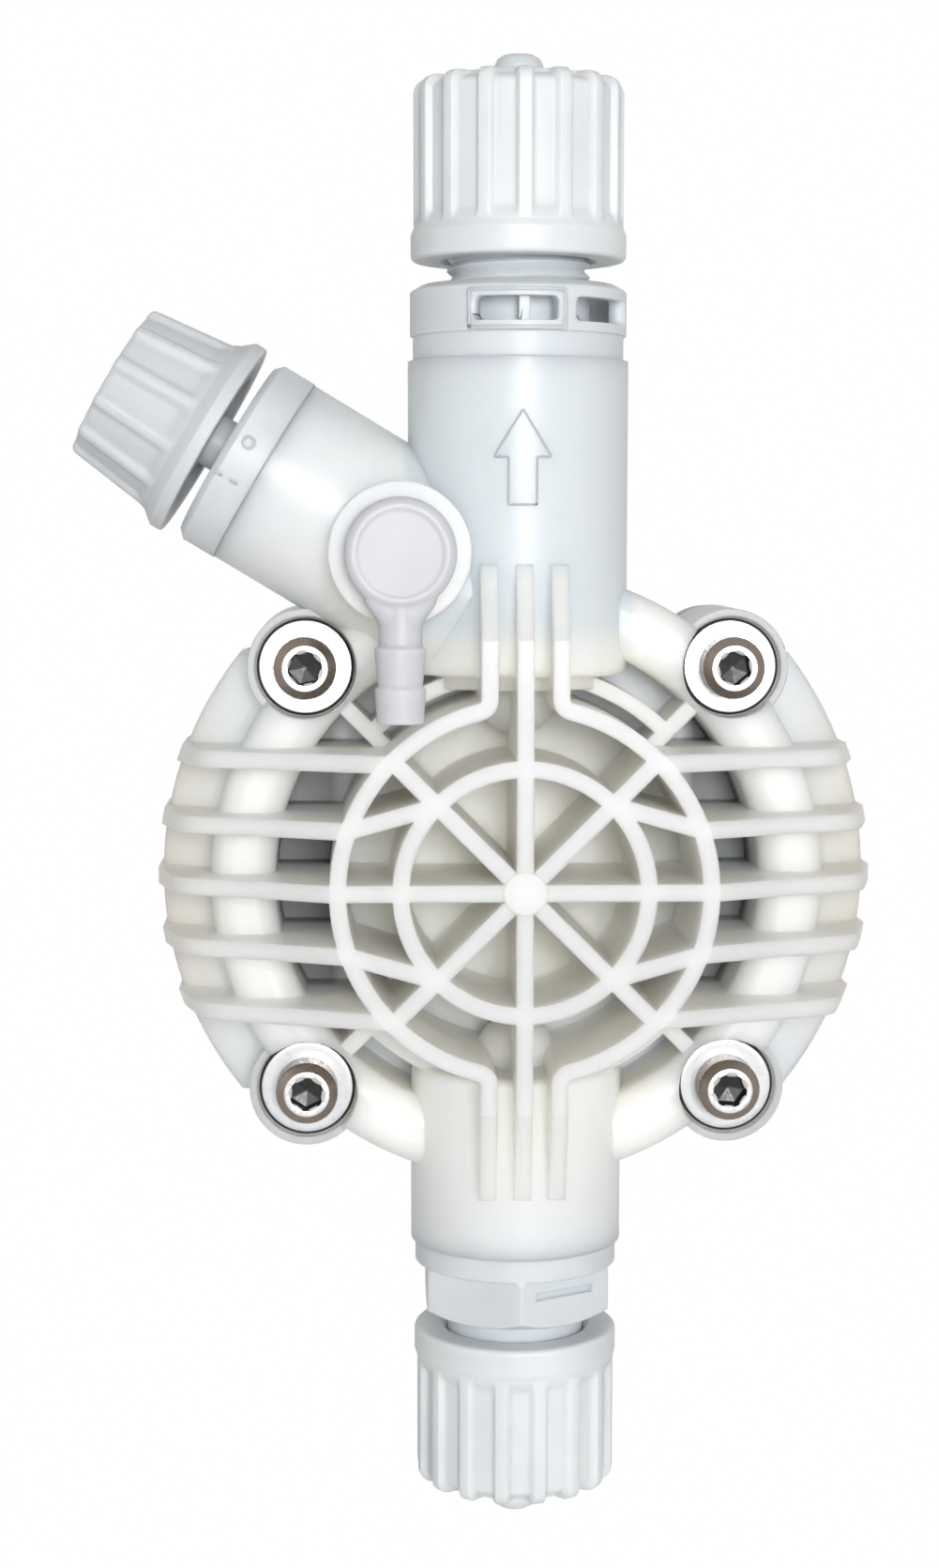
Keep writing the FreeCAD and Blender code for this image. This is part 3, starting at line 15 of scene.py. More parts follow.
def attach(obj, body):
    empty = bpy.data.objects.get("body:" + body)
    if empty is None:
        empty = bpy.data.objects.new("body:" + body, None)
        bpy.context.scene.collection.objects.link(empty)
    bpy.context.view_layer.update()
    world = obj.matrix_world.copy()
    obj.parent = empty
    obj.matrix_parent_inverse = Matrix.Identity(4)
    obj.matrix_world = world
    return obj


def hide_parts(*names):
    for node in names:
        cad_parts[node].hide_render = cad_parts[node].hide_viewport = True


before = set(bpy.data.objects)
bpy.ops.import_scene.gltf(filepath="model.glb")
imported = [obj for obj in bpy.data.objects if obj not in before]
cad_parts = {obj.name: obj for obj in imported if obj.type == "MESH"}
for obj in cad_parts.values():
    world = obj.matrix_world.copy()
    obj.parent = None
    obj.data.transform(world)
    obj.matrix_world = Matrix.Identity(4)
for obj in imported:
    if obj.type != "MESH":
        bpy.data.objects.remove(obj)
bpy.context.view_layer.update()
MM = 0.001

# %% [markdown]
# The camera stands about 0.4 m in front of the head, slightly to the left and above, so the tops of
# the ribs show and the right side of each boss is hidden. Its direction is written as three
# angles, and the matrix is worked out from them, because that keeps the numbers readable.

# %% Camera
CAMERA_SPOT = (-0.0234, -0.3893, 0.0491)
YAW, PITCH, ROLL = math.radians(2.62), math.radians(5.66), math.radians(0.09)
FOCAL_PIXELS, FRAME_HEIGHT, SENSOR = 2802.3, 1671, 36.0

forward = np.array([math.sin(YAW) * math.cos(PITCH), math.cos(YAW) * math.cos(PITCH), -math.sin(PITCH)])
right = np.array([math.cos(YAW), -math.sin(YAW), 0.0])
up = np.cross(right, forward)
right, up = math.cos(ROLL) * right + math.sin(ROLL) * up, math.cos(ROLL) * up - math.sin(ROLL) * right

camera = bpy.data.objects.new("camera", bpy.data.cameras.new("camera"))
camera.data.sensor_width = SENSOR
camera.data.lens = FOCAL_PIXELS / FRAME_HEIGHT * SENSOR
camera.data.clip_start, camera.data.clip_end = 0.02, 20
columns = np.column_stack([right, up, -forward, CAMERA_SPOT])
camera.matrix_world = Matrix([list(row) for row in columns] + [[0, 0, 0, 1]])
bpy.context.scene.collection.objects.link(camera)
bpy.context.scene.camera = camera
bpy.context.scene.view_settings.view_transform = "Standard"
print("camera", CAMERA_SPOT, "lens", round(camera.data.lens, 2))

# %% [markdown]
# Materials are graphs of shader nodes. One helper adds a node, sets what it is given, and links
# whatever comes as a pair of (node, output). Colours are written as sRGB hex, the way a designer
# reads them, and turned to linear light by one function.


# %% Helpers for materials
def linear(hex_colour):
    """sRGB hex to linear: each channel c becomes ((c + 0.055) / 1.055) ^ 2.4, or c / 12.92 near black."""
    channels = [int(hex_colour[i:i + 2], 16) / 255 for i in (1, 3, 5)]
    return tuple(c / 12.92 if c <= 0.04045 else ((c + 0.055) / 1.055) ** 2.4 for c in channels) + (1.0,)


def add_node(material, kind, sockets=None, **settings):
    """Adds a node. A socket's value may be a number, a colour, or a (node, output) pair to link."""
    tree = material.node_tree
    node = tree.nodes.new(kind)
    for name, setting in settings.items():
        setattr(node, name, setting)
    for name, given in (sockets or {}).items():
        if isinstance(given, tuple) and hasattr(given[0], "outputs"):
            tree.links.new(given[0].outputs[given[1]], node.inputs[name])
        else:
            node.inputs[name].default_value = given
    return node


def new_material(name):
    """A material whose graph of nodes is empty."""
    material = bpy.data.materials.new(name)
    material.use_nodes = True
    material.node_tree.nodes.clear()
    return material


def finish_material(material, shader):
    """Links the shader to the material's output, and gives the material back."""
    add_node(material, "ShaderNodeOutputMaterial", {"Surface": (shader, "BSDF")})
    return material


# %% [markdown]
# Natural polypropylene is moulded without pigment. It scatters light a millimetre or two under its
# skin, so thin ribs glow and corners look soft, and its skin is satin with a faint orange peel. The
# Principled shader's subsurface does the first, and two noise bumps, one of 0.25 mm grain and one
# of slow 6 mm flow, do the second. A Bevel node rounds the sharp CAD edges by what a mould rounds.


# %% Natural plastics
def natural_plastic(name, pale, shade, roughness, scatter, glow, edge, extra=None):
    """
    A translucent moulded plastic. Its colour drifts from pale to shade over about 12 mm. scatter is the
    share of light that goes in, glow how far it gets, edge the rounding of sharp edges, and extra a
    function that tones the colour further.
    """
    material = new_material(name)
    place = add_node(material, "ShaderNodeTexCoord")
    drift = add_node(material, "ShaderNodeTexNoise", {"Vector": (place, "Object"), "Scale": 1 / (12 * MM),
                                                      "Detail": 2.0, "Roughness": 0.5})
    ramp = add_node(material, "ShaderNodeMapRange", {"Value": (drift, "Fac"), "From Min": 0.35,
                                                     "From Max": 0.65})
    colour = add_node(material, "ShaderNodeMix", {"Factor": (ramp, "Result")}, data_type="RGBA")
    colour.inputs[6].default_value = linear(pale)
    colour.inputs[7].default_value = linear(shade)
    base = (colour, 2)
    if extra:
        base = extra(material, place, base)
    rounded = add_node(material, "ShaderNodeBevel", {"Radius": edge}, samples=6)
    flow = add_node(material, "ShaderNodeTexNoise", {"Vector": (place, "Object"), "Scale": 1 / (6 * MM),
                                                     "Detail": 1.0})
    slow = add_node(material, "ShaderNodeBump", {"Height": (flow, "Fac"), "Strength": 0.25,
                                                 "Distance": 0.12 * MM, "Normal": (rounded, "Normal")})
    peel = add_node(material, "ShaderNodeTexNoise", {"Vector": (place, "Object"), "Scale": 1 / (0.25 * MM),
                                                     "Detail": 1.0})
    fine = add_node(material, "ShaderNodeBump", {"Height": (peel, "Fac"), "Strength": 0.16,
                                                 "Distance": 0.02 * MM, "Normal": (slow, "Normal")})
    shader = add_node(material, "ShaderNodeBsdfPrincipled", {
        "Base Color": base, "Roughness": roughness, "IOR": 1.49, "Subsurface Weight": scatter,
        "Subsurface Radius": (1.0, 0.92, 0.82), "Subsurface Scale": glow, "Normal": (fine, "Normal")})
    return finish_material(material, shader)


# %% [markdown]
# The head isn't one colour. Its thin grille and ribs let light through, and a painted glow makes them
# brighter and warmer. The ends of the side ribs are yellowed, the thick upper housing is cooler, and
# the gaps beside the grille are darkened by painted shade.
# They could be painted on an unwrapped surface. Shares worked out from the place on the part need no
# unwrapping, and stay right when the solids change: a share goes from 0 to 1 between two distances,
# and shares are multiplied where several hold at once.


# %% Tones of the head
def between(material, source, start, end):
    """A share that is 0 at start and 1 at end, both in millimetres."""
    share = add_node(material, "ShaderNodeMapRange", {"Value": source, "From Min": start * MM,
                                                      "From Max": end * MM})
    return share, "Result"


def combined(material, operation, first, second):
    """Two numbers put together by a Math node."""
    return add_node(material, "ShaderNodeMath", {0: first, 1: second}, operation=operation), 0


def size_of(material, source):
    """A number without its sign, so that left and right, or top and bottom, are the same."""
    return add_node(material, "ShaderNodeMath", {0: source}, operation="ABSOLUTE"), 0


def head_tones(material, place, base):
    """Mixes a painted glow on thin forms, the tones of rib ends and upper housing, and painted shade in the
    side gaps over the base colour.
    """
    split = add_node(material, "ShaderNodeSeparateXYZ", {"Vector": (place, "Object")})
    depth, height = (split, "Y"), (split, "Z")
    across, rise = size_of(material, (split, "X")), size_of(material, height)
    # Painted glow on thin forms: the grille in the middle, and what stands far out in front, less so above 30
    # mm.
    grille = combined(material, "MULTIPLY", between(material, across, 28, 25),
                      between(material, depth, -16, -22))
    thin = combined(material, "MAXIMUM", grille, between(material, depth, -28, -38))
    thin = combined(material, "MULTIPLY", thin, between(material, rise, 50, 30))
    # The upper housing: high up, no wider than its wall, and behind the front of the elbow's boss.
    housing = combined(material, "MULTIPLY", between(material, height, 28, 36),
                       between(material, across, 16.5, 15))
    housing = combined(material, "MULTIPLY", housing, between(material, depth, -40, -39))
    # Painted shade in the gaps: a strip beside the grille on both sides, between the screws' bosses, near the
    # floor.
    gap_shade = combined(material, "MULTIPLY", between(material, across, 24, 26), between(material, across, 36, 34))
    gap_shade = combined(material, "MULTIPLY", gap_shade, between(material, rise, 26, 23))
    gap_shade = combined(material, "MULTIPLY", gap_shade, between(material, depth, -21, -17))
    rib_ends = between(material, across, 40, 50)
    # The last tone is painted shade that darkens the gaps.
    for share, colour in ((thin, "#FDFAF0"), (rib_ends, "#E9E2D6"), (housing, "#DCE2E5"), (gap_shade, "#8A8D8D")):
        tone = add_node(material, "ShaderNodeMix", {"Factor": share}, data_type="RGBA")
        material.node_tree.links.new(base[0].outputs[base[1]], tone.inputs[6])
        tone.inputs[7].default_value = linear(colour)
        base = (tone, 2)
    return base


# %% [markdown]
# The head, fittings and nuts are natural polypropylene. The knob and the elbow are polyethylene, which
# is softer and duller to the eye, so they are rougher. The plate is pigmented and lets little light
# in. The head's glow is wide, because its ribs are thin enough for light to cross them. One material
# for all would be quicker, but each kind of piece has its own white.

# %% Plastics by name
head_plastic = natural_plastic("moulded_natural_polypropylene_head", "#EDEFEE", "#E7EAEA",
                               roughness=0.38, scatter=1.0, glow=8 * MM, edge=0.35 * MM, extra=head_tones)
fitting_plastic = natural_plastic("moulded_natural_polypropylene_fittings", "#DBE0E3", "#D4D9DD",
                                  roughness=0.42, scatter=0.8, glow=2 * MM, edge=0.25 * MM)
nut_plastic = natural_plastic("moulded_natural_polypropylene_nuts", "#E4E7E8", "#DDE0E2",
                              roughness=0.42, scatter=0.8, glow=2 * MM, edge=0.2 * MM)
knob_plastic = natural_plastic("moulded_natural_polyethylene_knob", "#D5D8DB", "#CFD2D5",
                               roughness=0.48, scatter=0.8, glow=2 * MM, edge=0.2 * MM)
elbow_plastic = natural_plastic("moulded_natural_polyethylene_elbow", "#D1D2D6", "#CBCCD1",
                                roughness=0.45, scatter=0.8, glow=2 * MM, edge=0.3 * MM)
plate_plastic = natural_plastic("moulded_grey_polypropylene_plate", "#CFCFCB", "#C8C8C4",
                                roughness=0.5, scatter=0.3, glow=1 * MM, edge=0.3 * MM)
print("plastics", [material.name for material in bpy.data.materials if material.name.startswith("moulded")])

# %% [markdown]
# The screws and washers are stainless steel. Turned faces carry fine rings about the screw's axis,
# which stretch each highlight into a soft streak. They could come from a picture wrapped round each
# head. Here they are noise of one number, the distance from the nearest screw's axis, which serves
# all four screws at once.


# %% Helpers for metals and plain surfaces
SCREW_OFFSET = 29.4


def stainless(name, colour, roughness, ring_pitch):
    """
    Stainless steel with rings of a pitch about the nearest screw's axis, sqrt((|x| - o)^2 + (|z| - o)^2)
    away for the screws' offset o. Spots of half a millimetre vary its roughness from 0.8 to 1.3 times.
    """
    material = new_material(name)
    place = add_node(material, "ShaderNodeTexCoord")
    split = add_node(material, "ShaderNodeSeparateXYZ", {"Vector": (place, "Object")})
    squares = []
    for axis in ("X", "Z"):
        moved = combined(material, "SUBTRACT", size_of(material, (split, axis)), SCREW_OFFSET * MM)
        squares.append(combined(material, "POWER", moved, 2.0))
    total = combined(material, "ADD", *squares)
    radius = add_node(material, "ShaderNodeMath", {0: total}, operation="SQRT")
    rings = add_node(material, "ShaderNodeTexNoise", {"W": (radius, 0), "Scale": 1 / ring_pitch,
                                                      "Detail": 3.0}, noise_dimensions="1D")
    spots = add_node(material, "ShaderNodeTexNoise", {"Vector": (place, "Object"), "Scale": 1 / (0.5 * MM),
                                                      "Detail": 4.0})
    uneven = add_node(material, "ShaderNodeMapRange", {
        "Value": (spots, "Fac"), "From Min": 0.3, "From Max": 0.7,
        "To Min": roughness * 0.8, "To Max": roughness * 1.3})
    rounded = add_node(material, "ShaderNodeBevel", {"Radius": 0.15 * MM}, samples=6)
    groove = add_node(material, "ShaderNodeBump", {"Height": (rings, "Fac"), "Strength": 0.35,
                                                   "Distance": 0.02 * MM, "Normal": (rounded, "Normal")})
    shader = add_node(material, "ShaderNodeBsdfPrincipled", {
        "Base Color": linear(colour), "Metallic": 1.0, "Roughness": (uneven, "Result"),
        "Normal": (groove, "Normal")})
    return finish_material(material, shader)


def plain(name, colour, roughness, bump, scale, metallic=0.0):
    """One colour with a noise bump of a real depth and scale."""
    material = new_material(name)
    place = add_node(material, "ShaderNodeTexCoord")
    grain = add_node(material, "ShaderNodeTexNoise", {"Vector": (place, "Object"), "Scale": 1 / scale,
                                                      "Detail": 3.0})
    rough = add_node(material, "ShaderNodeBump", {"Height": (grain, "Fac"), "Strength": 0.5,
                                                  "Distance": bump})
    shader = add_node(material, "ShaderNodeBsdfPrincipled", {
        "Base Color": linear(colour), "Metallic": metallic, "Roughness": roughness,
        "Normal": (rough, "Normal")})
    return finish_material(material, shader)


# %% [markdown]
# A washer's ground face and a screw's turned end are bright. The washer's rim, the screw's rounded
# side and its socket are darkened by painted shade, the side tinged brown, so they are materials of
# their own. The balls are ground smooth and glossy, the seals are matt, and the diaphragm's skived face
# has slow waves. Each is one colour with a fine bump.

# %% Metals, rubber and ceramic by name
washer_steel = stainless("ground_stainless_steel_washer_faces", "#AEAFB0", 0.36, 0.2 * MM)
# The washers' rims are dark with painted shade.
rim_shade_steel = stainless("stainless_steel_washer_rims_painted_shade", "#4A4B4D", 0.35, 0.2 * MM)
screw_steel = stainless("turned_stainless_steel_screw_ends", "#C0C0BE", 0.3, 0.3 * MM)
# The screws' sides carry painted shade, tinged brown.
side_shade_steel = stainless("stainless_steel_screw_sides_painted_shade", "#83786F", 0.3, 0.3 * MM)
# The sockets are near black with painted shade.
socket_shade_steel = stainless("stainless_steel_sockets_painted_shade", "#3B3A3A", 0.3, 0.3 * MM)
core_steel = plain("turned_stainless_steel_core", "#C4C4C2", 0.3, 0.02 * MM, 0.4 * MM, metallic=1.0)
seal_rubber = plain("moulded_fluororubber_seals", "#1C1C1D", 0.55, 0.02 * MM, 0.3 * MM)
ball_ceramic = plain("ground_alumina_balls", "#EFEDE6", 0.12, 0.002 * MM, 0.2 * MM)
diaphragm_face = plain("skived_ptfe_diaphragm_face", "#F0F0EE", 0.35, 0.03 * MM, 1.5 * MM)
print("materials", len(bpy.data.materials))

# %% [markdown]
# Every solid gets its material here, by name. A solid's slot could choose its material, but the head,
# the nuts and the knob share one slot and look different, so each solid is listed. An assert makes
# sure that none is forgotten.

# %% Materials on the solids
FINISHES = {
    "natural_plastic": {
        head_plastic: ["dosing_head"],
        fitting_plastic: ["discharge_connector", "suction_connector", "discharge_seat", "suction_seat",
                          "discharge_ball_guide", "suction_ball_guide", "discharge_hose_nozzle",
                          "suction_hose_nozzle", "discharge_clamp_ring", "suction_clamp_ring",
                          "bleed_collar", "bleed_stem", "bleed_seal_tip"],
        nut_plastic: ["discharge_union_nut", "suction_union_nut"],
        knob_plastic: ["bleed_knob"],
        elbow_plastic: ["bleed_hose_elbow"],
    },
    "grey_plastic": {plate_plastic: ["backplate"]},
    "diaphragm_face": {diaphragm_face: ["diaphragm"]},
    "stainless_steel": {core_steel: ["diaphragm_core", "diaphragm_stud"], screw_steel: ["head_screws"],
                        washer_steel: ["head_washers"]},
    "ceramic": {ball_ceramic: ["discharge_ball", "suction_ball"]},
    "black_rubber": {seal_rubber: ["discharge_lower_o_ring", "discharge_upper_o_ring",
                                   "suction_lower_o_ring", "suction_upper_o_ring", "bleed_o_ring",
                                   "elbow_o_ring"]},
}
finished = []
for slot_name, groups in FINISHES.items():
    for material, names in groups.items():
        for name in names:
            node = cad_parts[name]
            node.data.materials.clear()
            node.data.materials.append(material)
            finished.append(name)
assert sorted(finished) == sorted(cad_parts)
print("materials on", len(finished), "solids")

# %% [markdown]
# The small parts that carry finer shapes start from an outline: corners in millimetres, each with its
# rounding, as a drawing gives them. A curve object would need handles worked out for every arc. Here
# tangent arcs join straight runs, and the runs are cut into short pieces that a ripple can bend.


# %% Helpers for outlines
ARC_PIECES = 5


def smooth(share):
    """0 below 0, 1 above 1, and 3 s^2 - 2 s^3 between."""
    share = np.clip(share, 0, 1)
    return share * share * (3 - 2 * share)


def outline_of(corners, closed=True, step=0.6):
    """
    Straight runs joined by tangent arcs, from corners (across, along, rounding). With h half the
    angle between two runs, the arc starts rounding / tan h from the corner. Seen from its centre, its
    ends a and b are an angle w apart, and its points are (sin((1 - t) w) a + sin(t w) b) / sin w.
    A straight run is cut into equal pieces no longer than step.
    """
    corners = np.array(corners, float)
    spots, rounding = corners[:, :2], corners[:, 2]
    path = []
    for i in range(len(spots)):
        if rounding[i] == 0:
            path.append(spots[i:i + 1])
            continue
        back, on = spots[i - 1] - spots[i], spots[(i + 1) % len(spots)] - spots[i]
        back, on = back / np.linalg.norm(back), on / np.linalg.norm(on)
        half = np.arccos(np.clip(back @ on, -1, 1)) / 2
        centre = spots[i] + (back + on) / np.linalg.norm(back + on) * rounding[i] / np.sin(half)
        start, end = (spots[i] + run * rounding[i] / np.tan(half) - centre for run in (back, on))
        w = np.pi - 2 * half
        t = np.linspace(0, 1, ARC_PIECES + 1)[:, None]
        path.append(centre + (np.sin((1 - t) * w) * start + np.sin(t * w) * end) / np.sin(w))
    path = np.vstack(path + path[:1] * closed)
    path = path[np.append(True, np.linalg.norm(np.diff(path, axis=0), axis=1) > 1e-6)]
    filled = []
    for start, end in zip(path[:-1], path[1:]):
        count = max(1, math.ceil(np.linalg.norm(end - start) / step))
        filled.append(start + (end - start) * np.arange(count)[:, None] / count)
    return np.vstack(filled + [path[-1:]] * (not closed))


# %% [markdown]
# Most of the small parts are turned: an outline of (radius, height) is swept round an axis, and a
# ripple cuts flutes or a thread. Blender's Screw modifier sweeps profiles too, but a formula lets the
# ripple change each point before the mesh exists, and whole numpy arrays do it in one step.


# %% Helpers for turned surfaces
def axis_frame(origin, direction, side):
    """Where an axis starts, which way it points, and the direction of its angle 0."""
    return tuple(np.array(v, float) for v in (origin, direction, side))


def turned(frame_of, outline, columns, ripple=None):
    """
    P(t, k) = origin + h * direction + r * (cos t * side + sin t * cross), with (r, h) the outline's
    point k, changed by the ripple, cross = direction x side, and t from 0 to 2 pi in equal columns.
    """
    origin, direction, side = frame_of
    turn = np.linspace(0, 2 * np.pi, columns, endpoint=False)[None, :]
    radius, height = outline[:, :1] + 0 * turn, outline[:, 1:2] + 0 * turn
    if ripple:
        radius, height = ripple(turn, radius, height)
    spoke = np.cos(turn)[..., None] * side + np.sin(turn)[..., None] * np.cross(direction, side)
    return origin + height[..., None] * direction + radius[..., None] * spoke


# %% [markdown]
# A grid of points becomes an object here. Its quads are joined by their numbers in the grid, so seams
# and poles close by themselves, and edges sharper than 40 degrees stay sharp under smooth shading.
# Each finished object is then tied to the body that it moves with, and the solid that it dresses is hidden.


# %% Helpers for objects
def mesh_object(name, parts, materials=(), unit=MM):
    """
    One object from parts (grid, closed, zone). Quad (i, j) joins the grid's points (i, j), (i, j + 1),
    (i + 1, j + 1) and (i + 1, j), with j round the axis. A row whose points coincide becomes one
    point, and its quads become triangles. zone is the material's number, or one number a row.
    """
    points, faces, zones = [], [], []
    total = 0
    for grid, closed, zone in parts:
        rows, columns = grid.shape[:2]
        number = np.arange(rows * columns).reshape(rows, columns)
        for end in (0, -1):
            if np.ptp(grid[end], axis=0).max() < 1e-6:
                number[end] = number[end, 0]
        number = np.vstack([number, number[:1]]) if closed else number
        beside = np.roll(number, -1, axis=1)
        quads = np.stack([number[:-1], beside[:-1], beside[1:], number[1:]], axis=-1)
        used, flat = np.unique(quads, return_inverse=True)
        faces += [list(dict.fromkeys(quad)) for quad in (flat.reshape(-1, 4) + total).tolist()]
        zones += np.repeat(np.broadcast_to(zone, len(number) - 1), columns).tolist()
        points.append(grid.reshape(-1, 3)[used] * unit)
        total += len(used)
    mesh = bpy.data.meshes.new(name)
    mesh.from_pydata(np.vstack(points).tolist(), [], faces)
    mesh.polygons.foreach_set("material_index", zones)
    for material in materials:
        mesh.materials.append(material)
    mesh.shade_smooth()
    mesh.set_sharp_from_angle(angle=math.radians(40))
    made = bpy.data.objects.new(name, mesh)
    bpy.context.scene.collection.objects.link(made)
    return made


def fit(piece, body, slot_name, *nodes):
    """Makes an object a piece of the pump: it rides on a body and may stand for solids, which it hides.
    slot_name is not used.
    """
    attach(piece, body)
    if nodes:
        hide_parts(*nodes)
    sides = [round(side / MM, 1) for side in piece.dimensions]
    print(piece.name, len(piece.data.polygons), "faces,", sides, "mm")
    return piece


def add_piece(name, parts, materials, body, slot_name, *nodes):
    """A piece made of grids and fitted to the pump."""
    return fit(mesh_object(name, parts, materials), body, slot_name, *nodes)


def apply_modifiers(piece):
    """Takes what the piece's modifiers make as its mesh, and clears them."""
    graph = bpy.context.evaluated_depsgraph_get()
    mesh = bpy.data.meshes.new_from_object(piece.evaluated_get(graph))
    piece.modifiers.clear()
    piece.data = mesh


# %% [markdown]
# The valves share one upright axis, and the bleed branch leaves it at 31 degrees, up to the left. All
# three start in the same plane, and their angle 0 is the front, which the photograph shows.

# %% Axes of the valves and the bleed branch
VALVES_DEPTH, BLEED_LIFT, BLEED_ANGLE = -23.5, 35.2, math.radians(31)
upward = axis_frame((0, VALVES_DEPTH, 0), (0, 0, 1), (0, -1, 0))
downward = axis_frame((0, VALVES_DEPTH, 0), (0, 0, -1), (0, -1, 0))
branch = axis_frame((0, VALVES_DEPTH, BLEED_LIFT), (-math.cos(BLEED_ANGLE), 0, math.sin(BLEED_ANGLE)),
                    (0, -1, 0))
print("bleed branch points", branch[1].round(3))

# %% [markdown]
# The union nuts have sixteen ridges, so that a wet hand can turn them. A channel between two ridges
# has a flat floor and a round lower end, and it draws the nut's end face back a little, which gives
# the end its wavy edge. Cutting sixteen channels with booleans would leave rough seams, so a ripple
# pushes the points in.


# %% Union nuts
NUT_RIDGES, HOSE_HOLE, CONE_RADIUS = 16, 4.1, 6.4


def channels(count, ridge, slope, depth, start, end, inner, lift, first):
    """
    A ripple of channels. With u the distance round from the nearest ridge's middle, a channel's share
    is smooth((u - ridge / 2) / slope). It fades in over 1.6 mm from the height start, and over 1.5 mm
    from the radius inner, and draws the last 2.5 mm before end back by lift.
    """
    pitch = 2 * np.pi / count

    def ripple(turn, radius, height):
        away = np.abs((turn - first + pitch / 2) % pitch - pitch / 2) * radius
        share = smooth((away - ridge / 2) / slope) * smooth((height - start) / 1.6)
        share = share * smooth((radius - inner) / 1.5)
        return radius - depth * share, height - lift * share * smooth((height - end + 2.5) / 2.5)
    return ripple


def union_nut(frame_of, low, tall, neck, wide, skirt, first):
    """The nut's closed profile: rim, skirt, fluted side, end with the hose hole, cone and bore."""
    bore, end = neck + 0.15, low + tall
    outline = outline_of([
        (bore + 0.7, low, 0.1), (skirt, low, 0.7), (skirt, low + 3.5, 0.6), (wide, low + 4.4, 0.8),
        (wide, end, 1.9), (HOSE_HOLE, end, 0.5), (HOSE_HOLE, end - 2, 0.1), (CONE_RADIUS, end - 2, 0.1),
        (bore, end - 7, 0.1), (bore, low + 0.7, 0.1)])
    ripple = channels(NUT_RIDGES, ridge=1.5, slope=0.65, depth=0.95, start=low + 4.6, end=end,
                      inner=wide - 3.4, lift=0.8, first=first)
    return turned(frame_of, outline, NUT_RIDGES * 22, ripple), True, 0


discharge_nut = union_nut(upward, low=84.8, tall=24.4, neck=9.9, wide=14.4, skirt=14.8, first=0.0)
suction_nut = union_nut(downward, low=64.3, tall=22.4, neck=9.6, wide=14.0, skirt=14.3,
                        first=math.pi / NUT_RIDGES)
add_piece("fluted_discharge_nut", [discharge_nut],
          [nut_plastic], "discharge_nut", "natural_plastic", "discharge_union_nut")
add_piece("fluted_suction_nut", [suction_nut],
          [nut_plastic], "suction_nut", "natural_plastic", "suction_union_nut")

# %% [markdown]
# The bleed knob has the nuts' channels between twelve thin ridges on a slight cone, above a wide
# skirt. It could be a nut made smaller, but it is closed at its end, and a sleeve in its hollow holds
# the stem, so it has an outline of its own and shares only the ripple.

# %% Bleed knob
KNOB_RIDGES, KNOB_FOOT, KNOB_END = 12, 48.8, 64.8
# Stem socket, sleeve round it, hollow between sleeve and wall, skirt, and the fluted cone.
knob_outline = outline_of([
    (0, 61.1, 0), (3.8, 61.1, 0), (3.8, 49.4, 0.1), (5.6, 49.4, 0.3), (5.6, 57.8, 0.2), (9.4, 57.8, 0.4),
    (9.8, KNOB_FOOT, 0.2), (14.4, KNOB_FOOT, 0.4), (14.4, 50.5, 0.5), (12.9, 52.3, 0.8),
    (11.3, KNOB_END, 0.9), (0, KNOB_END, 0)], closed=False)
knob_ripple = channels(KNOB_RIDGES, ridge=0.7, slope=1.2, depth=0.75, start=52.4, end=KNOB_END, inner=9.9,
                       lift=0.3, first=math.radians(12.4))
add_piece("fluted_bleed_knob", [(turned(branch, knob_outline, KNOB_RIDGES * 24, knob_ripple), False, 0)],
          [knob_plastic], "bleed_handle", "natural_plastic", "bleed_knob")

# %% [markdown]
# A screw's head has a flat ring, a rounded shoulder darkened by painted shade, and a hexagon socket. A
# hexagon is the radius f / cos(a) with a the angle from the nearest flat's middle, so one ripple turns
# the socket's circle into a hexagon. The thread is another ripple: grooves that climb one pitch a turn.
# Only the threaded end has fine rows, because the rest of the shank is hidden in the head.


# %% Screws
def thread(pitch, depth, low, high, crest):
    """
    A ripple of V grooves in a wall of the radius crest. Its phase is height / pitch - t / (2 pi), and
    a groove is as deep as depth times the phase's distance from its nearest whole number, doubled. It
    fades in and out over one pitch at the heights low and high.
    """
    def ripple(turn, radius, height):
        phase = height / pitch - turn / (2 * np.pi)
        groove = 2 * np.abs(phase - np.round(phase))
        here = smooth((height - low) / pitch) * smooth((high - height) / pitch)
        here = here * (np.abs(radius - crest) < 0.01)
        return radius - depth * groove * here, height
    return ripple


TIP, SEAT, HEAD_TOP = -13.2, 26.8, 31.8
THREAD_RADIUS, SHANK_RADIUS, HEAD_RADIUS, RING_RADIUS, SOCKET_HALF = 2.45, 2.5, 4.25, 3.1, 2.0
# Where each screw stands, and how far its socket is turned, which no two screws share.
SCREW_PLACES = [(-SCREW_OFFSET, SCREW_OFFSET, math.radians(12)),
                (SCREW_OFFSET, SCREW_OFFSET, math.radians(40)),
                (-SCREW_OFFSET, -SCREW_OFFSET, math.radians(25)),
                (SCREW_OFFSET, -SCREW_OFFSET, math.radians(55))]


